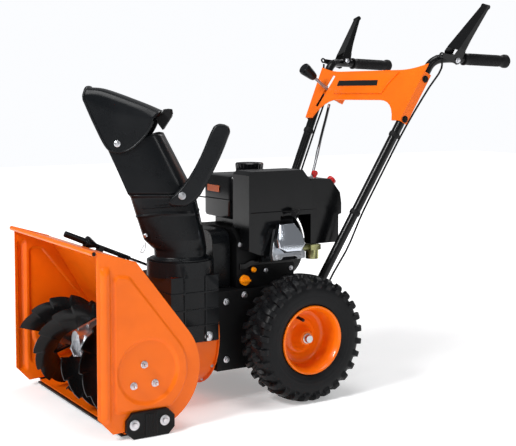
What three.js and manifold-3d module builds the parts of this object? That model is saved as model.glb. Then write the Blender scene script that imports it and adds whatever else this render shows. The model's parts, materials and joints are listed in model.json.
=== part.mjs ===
import * as THREE from 'three';
import { mergeVertices } from 'three/addons/utils/BufferGeometryUtils.js';
import Module from 'manifold-3d';

// A small two-stage petrol snow blower, in millimetres.
// The auger mouth faces -Y, the operator stands at +Y, +X is the machine's left and +Z is up.
// Inside this file y = 0 is the front edge of the side plates and z = 0 is the ground;
// the whole machine is moved at the end so that the origin is the middle of its footprint.

// ---- Driving dimensions -------------------------------------------------------------------
const GAP = 0.3;                       // running gap between touching pieces
const SHEET = 3;                       // steel sheet of plates, drum and frame

const HOUSING_HALF = 285;              // outer faces of the side plates
const HOUSING_HEIGHT = 440;            // rolled lip above the ground
const HOUSING_CORNER = [98, 411];      // where the top sheet bends down to the rear
const HOUSING_SKIN = 2.5;
const HOUSING_RADIUS = 125.75;         // middle of the sheet that wraps the auger
const LIP_RADIUS = 6;
const LIP_Y = -6.5;

const AUGER = { y: 117, z: 139, radius: 119, core: 56, hub: 22, shaft: 12.5 };
const PLATE_REAR = { y: 123, z: 151, radius: 141 };
const DISH_RADIUS = 74;
const BEARING_BOLTS = 31.5;

const IMPELLER = { z: 177, radius: 136, shaft: 12, front: 292, rear: 374 };
const DRUM = { inner: 140, outer: 143, rear: 395, flange: 150 };
const WORM_RADIUS = 10.4;
const WORM_WHEEL_RADIUS = 27;

const CHUTE = { x: 68, y: 324, turn: -32, base: 348, collar: 87, collarTop: 376 };
const DEFLECTOR_PIVOT = { forward: 152, z: 677 };

const FRAME = { half: 131, front: 398, rear: 700, bottom: 81, top: 290 };
const CRANK = { z: 385, shaft: 12.5, pulley: 34, flywheel: 78 };
const TRACTION = { z: 190, disc: 80, pulley: 50, face: 478, wheel: 52, wheelX: 45 };
const BELT = { bed: 9, thick: 8, width: 10 };
const CYLINDER_TILT = 12;
const KEY = { x: 100, y: 724 };
const CHOKE = { x: 100, y: 773, z: 556.8, lean: 50.6 };

const AXLE = { y: 606, z: 165, shaft: 9.5, half: 246, gear: 60, pinion: 18.7 };
const TYRE_RADIUS = 165;
const TYRE_OUTER = 269;
const RIM_RADIUS = 89;

const TUBE_RADIUS = 12.5;
const TUBE_FOOT = [145.5, 698, 270];
const TUBE_SHOULDER = [243, 1018, 895];
const TUBE_NECK = [258, 1052, 902];
const TUBE_END = [271, 1264, 896];
const LEVER_REST = 58;                 // angle between a resting lever and the ground
const LEVER_SPLAY = 15.5;              // the levers' brackets are turned outwards on their tubes
const LEVER_LENGTH = 172;

// ---- Materials ------------------------------------------------------------------------------
function material(color, roughness, metalness) {
  return new THREE.MeshStandardMaterial({ color, roughness, metalness });
}
const ORANGE = material('#f2660c', 0.35, 0.1);
const BLACK_PAINT = material('#16181b', 0.4, 0.2);
const BLACK_PLASTIC = material('#1c1e21', 0.45, 0);
const RUBBER = material('#17181a', 0.85, 0);
const STEEL = material('#8f949a', 0.35, 0.9);
const ALUMINIUM = material('#b8bcc2', 0.4, 0.9);
const RED = material('#b02a20', 0.4, 0);
const AMBER = material('#f09a10', 0.4, 0);

// ---- Geometry helpers -----------------------------------------------------------------------
const wasm = await Module();
wasm.setup();
const radians = THREE.MathUtils.degToRad;

// Welds shared corners, drops empty triangles and turns all faces outwards.
function weld(geometry) {
  const bare = geometry.clone();
  bare.deleteAttribute('normal');
  bare.deleteAttribute('uv');
  const merged = mergeVertices(bare, 1e-4);
  const index = merged.index.array;
  const kept = [];
  for (let i = 0; i < index.length; i += 3) {
    const [a, b, c] = [index[i], index[i + 1], index[i + 2]];
    if (a !== b && b !== c && c !== a) kept.push(a, b, c);
  }
  const corners = [new THREE.Vector3(), new THREE.Vector3(), new THREE.Vector3()];
  let volume = 0;
  for (let i = 0; i < kept.length; i += 3) {
    corners.forEach((corner, k) => corner.fromBufferAttribute(merged.attributes.position, kept[i + k]));
    volume += corners[0].dot(corners[1].clone().cross(corners[2]));
  }
  if (volume < 0) kept.reverse();
  merged.setIndex(kept);
  merged.computeVertexNormals();
  return merged;
}

function toSolid(geometry) {
  const welded = weld(geometry);
  const vertProperties = new Float32Array(welded.attributes.position.array);
  const triVerts = new Uint32Array(welded.index.array);
  return new wasm.Manifold(new wasm.Mesh({ numProp: 3, vertProperties, triVerts }));
}

function toGeometry(solid) {
  const mesh = solid.getMesh();
  const geometry = new THREE.BufferGeometry();
  geometry.setAttribute('position', new THREE.BufferAttribute(mesh.vertProperties, 3));
  geometry.setIndex(Array.from(mesh.triVerts));
  geometry.computeVertexNormals();
  return geometry;
}

function join(...geometries) {
  return toGeometry(geometries.map(toSolid).reduce((whole, piece) => whole.add(piece)));
}

function cut(body, ...tools) {
  return toGeometry(tools.map(toSolid).reduce((rest, tool) => rest.subtract(tool), toSolid(body)));
}

function block(x0, x1, y0, y1, z0, z1) {
  const box = new THREE.BoxGeometry(x1 - x0, y1 - y0, z1 - z0);
  return weld(box.translate((x0 + x1) / 2, (y0 + y1) / 2, (z0 + z1) / 2));
}

function rodX(radius, x0, x1, y, z, sides = 20) {
  const rod = new THREE.CylinderGeometry(radius, radius, x1 - x0, sides);
  return weld(rod.rotateZ(-Math.PI / 2).translate((x0 + x1) / 2, y, z));
}

function rodY(radius, y0, y1, x, z, sides = 20) {
  const rod = new THREE.CylinderGeometry(radius, radius, y1 - y0, sides);
  return weld(rod.translate(x, (y0 + y1) / 2, z));
}

function rodZ(radius, z0, z1, x, y, sides = 20) {
  const rod = new THREE.CylinderGeometry(radius, radius, z1 - z0, sides);
  return weld(rod.rotateX(Math.PI / 2).translate(x, y, (z0 + z1) / 2));
}

function shapeOf(outline) {
  if (outline instanceof THREE.Shape) return outline;
  return new THREE.Shape(outline.map(([u, v]) => new THREE.Vector2(u, v)));
}

function slab(outline, depth, bevel = 0) {
  const options = { depth: depth - 2 * bevel, curveSegments: 6, bevelEnabled: bevel > 0,
    bevelThickness: bevel, bevelSize: bevel, bevelOffset: -bevel, bevelSegments: 2 };
  return new THREE.ExtrudeGeometry(shapeOf(outline), options).translate(0, 0, bevel);
}

// An outline in (y, z) carried along X, in (x, z) along Y, and in (x, y) along Z.
function slabX(outline, x0, x1, bevel = 0) {
  const toYZ = new THREE.Matrix4().makeBasis(
    new THREE.Vector3(0, 1, 0), new THREE.Vector3(0, 0, 1), new THREE.Vector3(1, 0, 0));
  return weld(slab(outline, x1 - x0, bevel).applyMatrix4(toYZ).translate(x0, 0, 0));
}

function slabY(outline, y0, y1, bevel = 0) {
  return weld(slab(outline, y1 - y0, bevel).rotateX(Math.PI / 2).translate(0, y1, 0));
}

function slabZ(outline, z0, z1, bevel = 0) {
  return weld(slab(outline, z1 - z0, bevel).translate(0, 0, z0));
}

// A profile of (radius, distance along the axis), turned about its axis.
function turned(profile, sides = 32) {
  return new THREE.LatheGeometry(profile.map(([r, h]) => new THREE.Vector2(r, h)), sides);
}

function turnedX(profile, y, z, sides = 32) {
  return weld(turned(profile, sides).rotateZ(-Math.PI / 2).translate(0, y, z));
}

function turnedY(profile, x, z, sides = 32) {
  return weld(turned(profile, sides).translate(x, 0, z));
}

function turnedZ(profile, x, y, sides = 32) {
  return weld(turned(profile, sides).rotateX(Math.PI / 2).translate(x, y, 0));
}

function ringShape(outer, inner, sides = 12) {
  const shape = new THREE.Shape();
  shape.absarc(0, 0, outer, 0, 2 * Math.PI);
  const points = shape.getPoints(sides / 2).slice(0, -1);
  const ring = new THREE.Shape(points);
  if (inner > 0) ring.holes.push(new THREE.Path(points.map((p) => p.clone().multiplyScalar(inner / outer))));
  return ring;
}

// Straight runs joined by soft bends that start the given distance before each corner.
function bentLine(points, bend, steps = 4) {
  const corners = points.map((p) => new THREE.Vector3(...p));
  const line = [corners[0]];
  for (let i = 1; i < corners.length - 1; i += 1) {
    const start = corners[i - 1].clone().sub(corners[i]).setLength(bend).add(corners[i]);
    const end = corners[i + 1].clone().sub(corners[i]).setLength(bend).add(corners[i]);
    line.push(...new THREE.QuadraticBezierCurve3(start, corners[i], end).getPoints(steps));
  }
  line.push(corners[corners.length - 1]);
  return line;
}

// A round bar along a line of points, its sections turned as little as possible on the way.
function bar(line, radius, sides = 12) {
  const turn = new THREE.Quaternion();
  const facing = new THREE.Vector3(0, 0, 1);
  const frames = line.map((point, i) => {
    const before = line[Math.max(i - 1, 0)];
    const after = line[Math.min(i + 1, line.length - 1)];
    const along = after.clone().sub(before).normalize();
    turn.premultiply(new THREE.Quaternion().setFromUnitVectors(facing, along));
    facing.copy(along);
    return turn.clone();
  });
  const circle = arc(0, 0, radius, 0, 360 - 360 / sides, sides - 1);
  return loft(line.map(() => circle), (u, v, i) => (
    new THREE.Vector3(u, v, 0).applyQuaternion(frames[i]).add(line[i]).toArray()));
}

function pipe(line, outer, inner, sides = 12) {
  const first = line[0].clone().sub(line[1]).setLength(1).add(line[0]);
  const last = line[line.length - 1].clone().sub(line[line.length - 2]).setLength(1).add(line[line.length - 1]);
  return cut(bar(line, outer, sides), bar([first, ...line.slice(1, -1), last], inner, sides));
}

// Closed outlines of equal point count, skinned one to the next and capped at both ends.
function loft(outlines, place) {
  const count = outlines[0].length;
  const positions = [];
  outlines.forEach((outline, level) => {
    outline.forEach(([u, v], corner) => positions.push(...place(u, v, level, corner)));
  });
  const index = [];
  for (let level = 0; level + 1 < outlines.length; level += 1) {
    for (let i = 0; i < count; i += 1) {
      const a = level * count + i;
      const b = level * count + ((i + 1) % count);
      index.push(a, b, b + count, a, b + count, a + count);
    }
  }
  const last = (outlines.length - 1) * count;
  const flat = (outline) => outline.map(([u, v]) => new THREE.Vector2(u, v));
  const capOf = (outline) => THREE.ShapeUtils.triangulateShape(flat(outline), []);
  const clockwise = THREE.ShapeUtils.area(flat(outlines[0])) < 0;
  capOf(outlines[0]).forEach(([a, b, c]) => index.push(...(clockwise ? [a, b, c] : [c, b, a])));
  capOf(outlines[outlines.length - 1]).forEach(([a, b, c]) => {
    index.push(...(clockwise ? [last + c, last + b, last + a] : [last + a, last + b, last + c]));
  });
  const geometry = new THREE.BufferGeometry();
  geometry.setAttribute('position', new THREE.Float32BufferAttribute(positions, 3));
  geometry.setIndex(index);
  return weld(geometry);
}

function arc(y, z, radius, from, to, steps) {
  const points = [];
  for (let i = 0; i <= steps; i += 1) {
    const angle = radians(from + ((to - from) * i) / steps);
    points.push([y + radius * Math.cos(angle), z + radius * Math.sin(angle)]);
  }
  return points;
}

// A polyline moved sideways by a distance, with mitred corners.
function offsetLine(points, distance) {
  return points.map(([y, z], i) => {
    const before = points[Math.max(i - 1, 0)];
    const after = points[Math.min(i + 1, points.length - 1)];
    const inward = new THREE.Vector2(y - before[0], z - before[1]);
    const outward = new THREE.Vector2(after[0] - y, after[1] - z);
    if (inward.length() === 0) inward.copy(outward);
    if (outward.length() === 0) outward.copy(inward);
    inward.normalize();
    outward.normalize();
    const along = inward.clone().add(outward).normalize();
    const mitre = distance / along.dot(inward);
    return [y + along.y * mitre, z - along.x * mitre];
  });
}

function strip(points, thickness) {
  return [...offsetLine(points, thickness / 2), ...offsetLine(points, -thickness / 2).reverse()];
}

// Angle at which a line from a point touches a circle on its rear side.
function touchAngle(point, circle) {
  const dy = point[0] - circle.y;
  const dz = point[1] - circle.z;
  const reach = Math.hypot(dy, dz);
  return THREE.MathUtils.radToDeg(Math.atan2(dz, dy) - Math.acos(circle.radius / reach));
}

// ---- Assembly -------------------------------------------------------------------------------
const machine = new THREE.Group();

function add(name, geometry, look, parent = machine) {
  const mesh = new THREE.Mesh(geometry, look);
  mesh.name = name;
  parent.add(mesh);
  return mesh;
}

function group(parent, x, y, z, rx = 0, ry = 0, rz = 0) {
  const child = new THREE.Group();
  child.position.set(x, y, z);
  child.rotation.set(radians(rx), radians(ry), radians(rz));
  parent.add(child);
  return child;
}

function mirrored(geometry) {
  return weld(geometry.clone().scale(-1, 1, 1));
}

// ---- Auger housing --------------------------------------------------------------------------
function housingLine() {
  const wrap = { y: AUGER.y, z: AUGER.z, radius: HOUSING_RADIUS };
  const bottom = AUGER.z - HOUSING_RADIUS;
  return [
    [LIP_Y + LIP_RADIUS - 1.5, HOUSING_HEIGHT],
    HOUSING_CORNER,
    ...arc(wrap.y, wrap.z, wrap.radius, touchAngle(HOUSING_CORNER, wrap), -90, 14),
    [66, bottom],
  ];
}

// Everything in front of the housing sheet, grown by a margin: used to trim what meets the sheet.
function housingEnvelope(margin) {
  const skin = offsetLine(housingLine(), -(HOUSING_SKIN / 2 + margin));
  return slabX([...skin, [-60, skin[skin.length - 1][1]], [-60, skin[0][1]]], -HOUSING_HALF, HOUSING_HALF);
}

function housing() {
  const half = HOUSING_HALF - SHEET - GAP;
  const sheet = slabX(strip(housingLine(), HOUSING_SKIN), -half, half);
  const lip = slabX(ringShape(LIP_RADIUS, LIP_RADIUS - 2, 16), -HOUSING_HALF, HOUSING_HALF);
  lip.translate(0, LIP_Y, HOUSING_HEIGHT);
  return cut(join(sheet, lip), rodY(DRUM.inner, AUGER.y, DRUM.rear, 0, IMPELLER.z, 40));
}

function platePoints(inset) {
  const rear = { y: PLATE_REAR.y, z: PLATE_REAR.z, radius: PLATE_REAR.radius - inset };
  const corner = [HOUSING_CORNER[0] - 0.4 * inset, HOUSING_CORNER[1] + 3 - 0.9 * inset];
  return { rear, corner, top: touchAngle(corner, rear) };
}

function sidePlate() {
  const edge = platePoints(0);
  const outline = [
    [0, HOUSING_HEIGHT + 4], [0, 57], [37, 17],
    ...arc(edge.rear.y, edge.rear.z, edge.rear.radius, -62, edge.top, 16),
    edge.corner,
  ];
  const pad = platePoints(37);
  const raised = [
    [44, 376], [44, 72], [52, 65],
    ...arc(pad.rear.y, pad.rear.z, pad.rear.radius, -58, pad.top, 14),
    [83, 382], [50, 382],
  ];
  const face = HOUSING_HALF;
  const plate = join(slabX(outline, face - SHEET, face), slabX(raised, face - 1, face + 3));
  const bead = cut(
    join(rodZ(9, 46, 402, face, 20, 16), new THREE.SphereGeometry(9, 16, 8).translate(face, 20, 402)),
    block(face - 20, face - SHEET, 0, 40, 0, HOUSING_HEIGHT));
  const dish = rodX(DISH_RADIUS, face, face + 10, 126, 154, 36);
  const holes = bearingBolts((y, z) => rodX(4.3, face - 10, face + 10, y, z, 12));
  return cut(join(plate, bead), dish, ...holes, rodX(AUGER.shaft + 1, face - 10, face + 10, AUGER.y, AUGER.z));
}

function bearingBolts(make) {
  return [90, 210, 330].map((angle) => {
    const [[y, z]] = arc(AUGER.y, AUGER.z, BEARING_BOLTS, angle, angle, 1);
    return make(y, z);
  });
}

// Flange bearing inside the plate, its three bolts passing through to heads in the dish.
function augerBearing() {
  const inner = HOUSING_HALF - SHEET - GAP;
  const flange = rodX(45, inner - 5, inner, AUGER.y, AUGER.z, 24);
  const boss = rodX(22, inner - 16, inner, AUGER.y, AUGER.z, 24);
  const bolts = bearingBolts((y, z) => rodX(4, inner - 2, HOUSING_HALF + 3, y, z, 12));
  const heads = bearingBolts((y, z) => rodX(7.5, HOUSING_HALF + GAP, HOUSING_HALF + 6, y, z, 6));
  return cut(join(flange, boss, ...bolts, ...heads),
    rodX(AUGER.shaft + GAP, 0, HOUSING_HALF - 1, AUGER.y, AUGER.z));
}

function skidShoe() {
  const face = HOUSING_HALF + GAP;
  const outline = [[84, 0], [174, 0], [190, 16], [190, 44], [172, 62], [82, 62], [66, 44], [66, 18]];
  const shoe = slabX(outline, face, face + 12);
  const rib = block(face + 10, face + 15, 112, 143, 4, 58);
  const sole = block(262, face + 6, 84, 174, 0, 6);
  return join(shoe, rib, sole);
}

function buildHousing() {
  add('auger_housing', housing(), ORANGE);
  const plate = sidePlate();
  add('left_side_plate', plate, ORANGE);
  add('right_side_plate', mirrored(plate), ORANGE);
  add('scraper_bar', block(-278, 278, 60, 118, 6.5, 11), BLACK_PAINT);
  const shoe = skidShoe();
  add('left_skid_shoe', shoe, BLACK_PAINT);
  add('right_skid_shoe', mirrored(shoe), BLACK_PAINT);
  const bearing = augerBearing();
  add('left_auger_bearing', bearing, STEEL);
  add('right_auger_bearing', mirrored(bearing), STEEL);
}

// ---- Augers and gearbox ---------------------------------------------------------------------
// A flat ribbon wound round the auger axis, its outer edge cut into saw teeth.
function ribbon(startAngle, turn) {
  const [outer, inner] = [258, 44];
  const teeth = 15;
  const sections = [];
  for (let tooth = 0; tooth < teeth; tooth += 1) {
    sections.push({ at: tooth / teeth, radius: AUGER.radius });
    sections.push({ at: (tooth + 0.94) / teeth, radius: AUGER.radius - 9 });
  }
  const outlines = sections.map(({ radius }) => [[AUGER.core, 0], [radius, 0], [radius, 4], [AUGER.core, 4]]);
  return loft(outlines, (radius, depth, level) => {
    const along = sections[level].at;
    const angle = radians(startAngle + turn * along);
    const x = outer - (outer - inner) * along - depth;
    return [x, AUGER.y + radius * Math.cos(angle), AUGER.z + radius * Math.sin(angle)];
  });
}

function augerArm(x, angle) {
  const arm = block(-10, 10, 0, AUGER.core + 10, -3, 3);
  return arm.rotateX(radians(angle)).translate(x, AUGER.y, AUGER.z);
}

// Two ribbons half a turn apart on a hub tube; tip is the angle of the first ribbon's outer end.
function auger(tip) {
  const turn = -290;
  const [outer, inner] = [258, 44];
  const pieces = [rodX(AUGER.hub, 38, 262, AUGER.y, AUGER.z, 24)];
  [0, 180].forEach((phase) => {
    pieces.push(ribbon(tip + phase, turn));
    [0.08, 0.5, 0.92].forEach((along) => {
      const x = outer - (outer - inner) * along - 2;
      pieces.push(augerArm(x, tip + phase + turn * along));
    });
  });
  return cut(join(...pieces), rodX(AUGER.shaft + 0.7, 0, 280, AUGER.y, AUGER.z));
}

function gearbox() {
  const octagon = (radius, x0, x1, z) => rodX(radius, x0, x1, AUGER.y, z, 8);
  const shell = join(octagon(56, -34, 34, 155), octagon(70, -5, 5, 160), rodY(27, 60, 196, 0, IMPELLER.z, 16));
  return cut(shell,
    rodX(42, -22, 22, AUGER.y, AUGER.z, 24),
    rodX(AUGER.shaft + 0.6, -40, 40, AUGER.y, AUGER.z),
    rodY(14.5, 72, 200, 0, IMPELLER.z));
}

function impeller() {
  const hub = rodY(24, IMPELLER.front, IMPELLER.rear, 0, IMPELLER.z);
  const vanes = [];
  for (let quarter = 0; quarter < 4; quarter += 1) {
    const vane = join(
      block(0, IMPELLER.radius - 6, IMPELLER.front, IMPELLER.rear, -2, 2),
      block(IMPELLER.radius - 12, IMPELLER.radius - 3, IMPELLER.front, IMPELLER.rear, -2, 16));
    vanes.push(vane.rotateY(radians(90 * quarter + 20)).translate(0, 0, IMPELLER.z));
  }
  const bore = rodY(IMPELLER.shaft + GAP, 280, 380, 0, IMPELLER.z);
  return cut(join(hub, rodY(70, 352, 356, 0, IMPELLER.z, 24), ...vanes), bore);
}

// A pulley with one flat-bottomed groove.
function groovedPulley(radius, y0, y1, z, sides = 32) {
  const middle = (y0 + y1) / 2;
  const groove = BELT.width / 2 + 1;
  return turnedY([
    [0, y0], [radius, y0], [radius, middle - groove], [radius - BELT.bed, middle - groove],
    [radius - BELT.bed, middle + groove], [radius, middle + groove], [radius, y1], [0, y1],
  ], 0, z, sides);
}

function buildAugerDrive() {
  const shaft = join(
    rodX(AUGER.shaft, -278, 278, AUGER.y, AUGER.z),
    rodX(WORM_WHEEL_RADIUS, -11, 11, AUGER.y, AUGER.z, 24));
  add('auger_shaft', shaft, STEEL);
  add('left_auger', auger(284), BLACK_PAINT);
  add('right_auger', mirrored(auger(164)), BLACK_PAINT);
  add('auger_gearbox', gearbox(), ALUMINIUM);
  const impellerShaft = join(
    rodY(9.5, 80, 200, 0, IMPELLER.z),
    rodY(WORM_RADIUS, 98, 136, 0, IMPELLER.z),
    rodY(IMPELLER.shaft, 198, 448, 0, IMPELLER.z));
  add('impeller_shaft', impellerShaft, STEEL);
  add('impeller', impeller(), BLACK_PAINT);
  const pulley = cut(groovedPulley(75, 424, 446, IMPELLER.z),
    rodY(IMPELLER.shaft + GAP, 420, 450, 0, IMPELLER.z));
  add('impeller_pulley', pulley, STEEL);
}

// ---- Impeller drum, chute base and chute ----------------------------------------------------
function drum() {
  const wall = rodY(DRUM.outer, AUGER.y, DRUM.rear, 0, IMPELLER.z, 40);
  const flange = rodY(DRUM.flange, DRUM.rear - SHEET, DRUM.rear, 0, IMPELLER.z, 40);
  const hollow = rodY(DRUM.inner, AUGER.y - 5, DRUM.rear - SHEET, 0, IMPELLER.z, 40);
  const outlet = block(-5, 150, 262, 388, IMPELLER.z + 3, 340);
  const shaftHole = rodY(IMPELLER.shaft + 1, DRUM.rear - 10, DRUM.rear + 10, 0, IMPELLER.z);
  return cut(join(wall, flange), hollow, outlet, shaftHole, housingEnvelope(GAP));
}

// Square duct standing on the drum, turning into the round collar that the chute sits in.
function chuteBase() {
  const low = IMPELLER.z - 7;
  const [x0, x1, y0, y1] = [CHUTE.x - 82, CHUTE.x + 82, 256, 391.6];
  const duct = block(x0, x1, y0, y1, low, CHUTE.base - 8);
  const floor = rodZ(CHUTE.collar, CHUTE.base - 12, CHUTE.base - 4, CHUTE.x, CHUTE.y, 36);
  const ring = rodZ(CHUTE.collar, CHUTE.base - 6, CHUTE.collarTop, CHUTE.x, CHUTE.y, 36);
  const ribs = [];
  [210, 252, 296].forEach((z) => ribs.push(block(x0 - 3, x1 + 3, y0 - 3, y1 - 1, z, z + 4)));
  [292, 352].forEach((y) => ribs.push(block(x1 - 1, x1 + 3, y, y + 4, low, CHUTE.base - 10)));
  const well = block(x0 + 4, x1 - 4, y0 + 4, y1 - 4, low - 1, CHUTE.base - 8);
  const seat = rodZ(74, CHUTE.base - 14, CHUTE.collarTop + 1, CHUTE.x, CHUTE.y, 36);
  const drumSpace = rodY(DRUM.outer + GAP, 200, 420, 0, IMPELLER.z, 40);
  const flangeSpace = rodY(DRUM.flange + GAP, DRUM.rear - SHEET - GAP, 420, 0, IMPELLER.z, 40);
  return cut(join(duct, floor, ring, ...ribs), well, seat, drumSpace, flangeSpace);
}

// Below the ledge the chute is a closed funnel; above it is a channel open to the front.
// Its own frame has the collar's axis at x = y = 0 and throws towards -Y.
function funnelLoop(level, wall) {
  const points = [];
  const steps = 20;
  for (let i = 0; i < steps; i += 1) {
    const angle = (2 * Math.PI * i) / steps;
    const [c, s] = [Math.cos(angle), Math.sin(angle)];
    const { power } = level;
    const square = (Math.abs(c) ** power + Math.abs(s) ** power) ** (-1 / power);
    points.push([(level.half - wall) * c * square, level.middle + (level.deep - wall) * s * square]);
  }
  return points;
}

function funnel() {
  const levels = [
    { z: CHUTE.base, half: 73.4, deep: 73.4, middle: 0, power: 2 },
    { z: 380, half: 73.4, deep: 73.4, middle: 0, power: 2 },
    { z: 385, half: 67, deep: 67, middle: 0, power: 2 },
    { z: 403, half: 66, deep: 68, middle: 0, power: 2.2 },
    { z: 430, half: 68, deep: 77.5, middle: -14.5, power: 3.6 },
    { z: 500, half: 67, deep: 80, middle: -33, power: 4.5 },
    { z: 552, half: 65, deep: 81.5, middle: -45.5, power: 5 },
  ];
  const skin = (wall) => loft(levels.map((level) => funnelLoop(level, wall)), (x, y, i) => [x, y, levels[i].z]);
  const ends = [rodZ(69.9, CHUTE.base - 1, CHUTE.base + 1, 0, 0, 24),
    rodZ(40, 551, 553, 0, levels[6].middle, 24)];
  const shoulder = rodZ(80, CHUTE.collarTop + GAP, CHUTE.collarTop + 4, 0, 0, 36);
  const inner = loft(levels.map((level) => funnelLoop(level, 3.5)), (x, y, i) => {
    const stretch = [-1, 0, 0, 0, 0, 0, 1][i];
    return [x, y, levels[i].z + stretch];
  });
  return cut(join(skin(0), shoulder), inner, ...ends);
}

// Channel with two side walls, two slanted corners and a flat back, leaning back as it rises.
function channel() {
  const levels = [
    { half: 64.5, front: [-126, 548], crease: [13, 548], back: [36, 548] },
    { half: 62, front: [-152, 607], crease: [-19, 608], back: [5, 608] },
    { half: 60, front: [-176, 660], crease: [-66, 704], back: [-43, 702] },
  ];
  const [wall, bevel] = [3.5, 24];
  const side = ['front', 'crease', 'back'];
  const rows = [...side, ...side.slice().reverse(), ...side, ...side.slice().reverse()];
  const outlines = levels.map(({ half, front, crease, back }) => {
    const outer = [[-half, front[0]], [-half, crease[0]], [bevel - half, back[0]]];
    const inner = [[wall - half, front[0]], [wall - half, crease[0] - 1], [bevel - half, back[0] - wall]];
    const flip = (points) => points.map(([x, y]) => [-x, y]).reverse();
    return [...outer, ...flip(outer), ...flip(inner).reverse(), ...inner.reverse()];
  });
  return loft(outlines, (x, y, i, corner) => [x, y, levels[i][rows[corner]][1]]);
}

function chuteBody() {
  const pivotHole = rodX(6.3, -80, 80, -DEFLECTOR_PIVOT.forward, DEFLECTOR_PIVOT.z, 12);
  const ledge = cut(
    block(-67, 67, -129, 38, 546, 552),
    loft([funnelLoop({ half: 65, deep: 81.5, middle: -45.5, power: 5 }, 3.5),
      funnelLoop({ half: 65, deep: 81.5, middle: -45.5, power: 5 }, 3.5)], (x, y, i) => [x, y, 540 + 20 * i]));
  return cut(join(funnel(), channel(), ledge), pivotHole);
}

// Curved arm on the chute's left flank, by which it is turned.
function chuteHandle() {
  const outline = new THREE.Shape();
  outline.moveTo(-12, 521);
  outline.quadraticCurveTo(-26, 524, -20, 539);
  outline.bezierCurveTo(12, 566, 34, 594, 60, 648);
  outline.bezierCurveTo(74, 678, 88, 722, 98, 727);
  outline.bezierCurveTo(112, 731, 142, 724, 133, 704);
  outline.bezierCurveTo(112, 646, 92, 606, 60, 551);
  outline.bezierCurveTo(40, 522, 18, 516, -12, 521);
  return slabX(new THREE.Shape(outline.getPoints(5)), 68.6, 98);
}

// The hood is open below and in front: side walls, slanted corners and a roof, station by station.
function hood() {
  const curve = (points) => new THREE.SplineCurve(points.map(([s, z]) => new THREE.Vector2(s, z)));
  const lower = curve([[62, 734], [80, 700], [118, 664], [152, 656], [178, 668], [208, 726], [235, 788]]);
  const crease = curve([[60, 742], [118, 766], [200, 791], [236, 799]]);
  const roof = curve([[44, 759], [96, 781], [187, 814], [233, 820]]);
  const [half, slant, wall, steps] = [67, 22, 3, 12];
  const stations = [];
  for (let i = 0; i <= steps; i += 1) {
    const t = i / steps;
    stations.push([lower.getPoint(t), crease.getPoint(t), roof.getPoint(t)]);
  }
  const rows = [0, 1, 2, 2, 1, 0, 0, 1, 2, 2, 1, 0];
  const outlines = stations.map(([low, edge, top]) => {
    const outer = [[-half, low.y], [-half, edge.y], [slant - half, top.y]];
    const inner = [[wall - half, low.y], [wall - half, edge.y - 1.5], [slant + 1 - half, top.y - wall]];
    const flip = (points) => points.map(([x, z]) => [-x, z]).reverse();
    return [...outer, ...flip(outer), ...flip(inner).reverse(), ...inner.reverse()];
  });
  return loft(outlines, (x, z, i, corner) => [x, -stations[i][rows[corner]].x, z]);
}

function deflectorBody() {
  const pivots = [-1, 1].map((side) => {
    const [x0, x1] = side > 0 ? [52, 72] : [-72, -52];
    return rodX(6, x0, x1, -DEFLECTOR_PIVOT.forward, DEFLECTOR_PIVOT.z, 12);
  });
  return join(hood(), ...pivots);
}

function buildChute() {
  add('impeller_drum', drum(), ORANGE);
  add('chute_base', chuteBase(), BLACK_PLASTIC);
  const chute = group(machine, CHUTE.x, CHUTE.y, 0, 0, 0, CHUTE.turn);
  add('chute', chuteBody(), BLACK_PLASTIC, chute);
  add('chute_handle', chuteHandle(), BLACK_PLASTIC, chute);
  add('deflector', deflectorBody(), BLACK_PLASTIC, chute);
  const knob = slabX([[-59, 743], [-42.5, 750], [-40, 762], [-21, 762], [-19, 745], [-42, 709.5], [-54, 726]],
    -18, 18);
  add('deflector_knob', knob, RUBBER, chute);
}

// ---- Clean-out tool and its bracket ---------------------------------------------------------
const TOOL = { x: -48, front: [53, 446], rear: [311, 335] };

function onToolAxis(geometry) {
  const fall = Math.atan2(TOOL.rear[1] - TOOL.front[1], TOOL.rear[0] - TOOL.front[0]);
  return weld(geometry.clone().rotateX(fall).translate(TOOL.x, TOOL.front[0], TOOL.front[1]));
}

function buildTool() {
  const length = Math.hypot(TOOL.rear[0] - TOOL.front[0], TOOL.rear[1] - TOOL.front[1]);
  const stick = turnedY([[0, 0], [8, 1], [8.5, 60], [16, 62], [16, 68], [7, 90], [6, 94], [6, 196], [0, 196]],
    0, 0, 16);
  const blade = slabZ([[-14, 188], [14, 188], [22, 206], [22, length], [-22, length], [-22, 206]], -3, 3);
  add('cleanout_tool', onToolAxis(join(stick, blade)), BLACK_PLASTIC);
  const clip = (y) => cut(block(-10, 10, y, y + 14, -14, 4), rodY(6.5, y - 1, y + 15, 0, 0, 16),
    block(-6.5, 6.5, y - 1, y + 15, 0, 9));
  const strap = block(-8, 8, 100, 180, -14, -10);
  const feet = [block(-8, 8, 102, 112, -80, -12), block(-8, 8, 168, 178, -80, -12)];
  const bracket = onToolAxis(join(strap, clip(100), clip(166), ...feet));
  const drumSpace = rodY(DRUM.outer + GAP, 100, 400, 0, IMPELLER.z, 40);
  add('tool_bracket', cut(bracket, housingEnvelope(GAP), drumSpace), BLACK_PLASTIC);
}

// ---- Frame and traction drive ---------------------------------------------------------------
function beltLoop(high, low, y0, y1) {
  const loop = (grow) => {
    const radii = [high.radius + grow, low.radius + grow];
    const lean = Math.asin((radii[1] - radii[0]) / (high.z - low.z));
    const from = THREE.MathUtils.radToDeg(lean);
    return [...arc(0, high.z, radii[0], from, 180 - from, 12),
      ...arc(0, low.z, radii[1], 180 - from, 360 + from, 18)];
  };
  const ring = shapeOf(loop(BELT.thick));
  ring.holes.push(new THREE.Path(loop(0).map(([x, z]) => new THREE.Vector2(x, z))));
  return slabY(ring, y0, y1);
}

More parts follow.
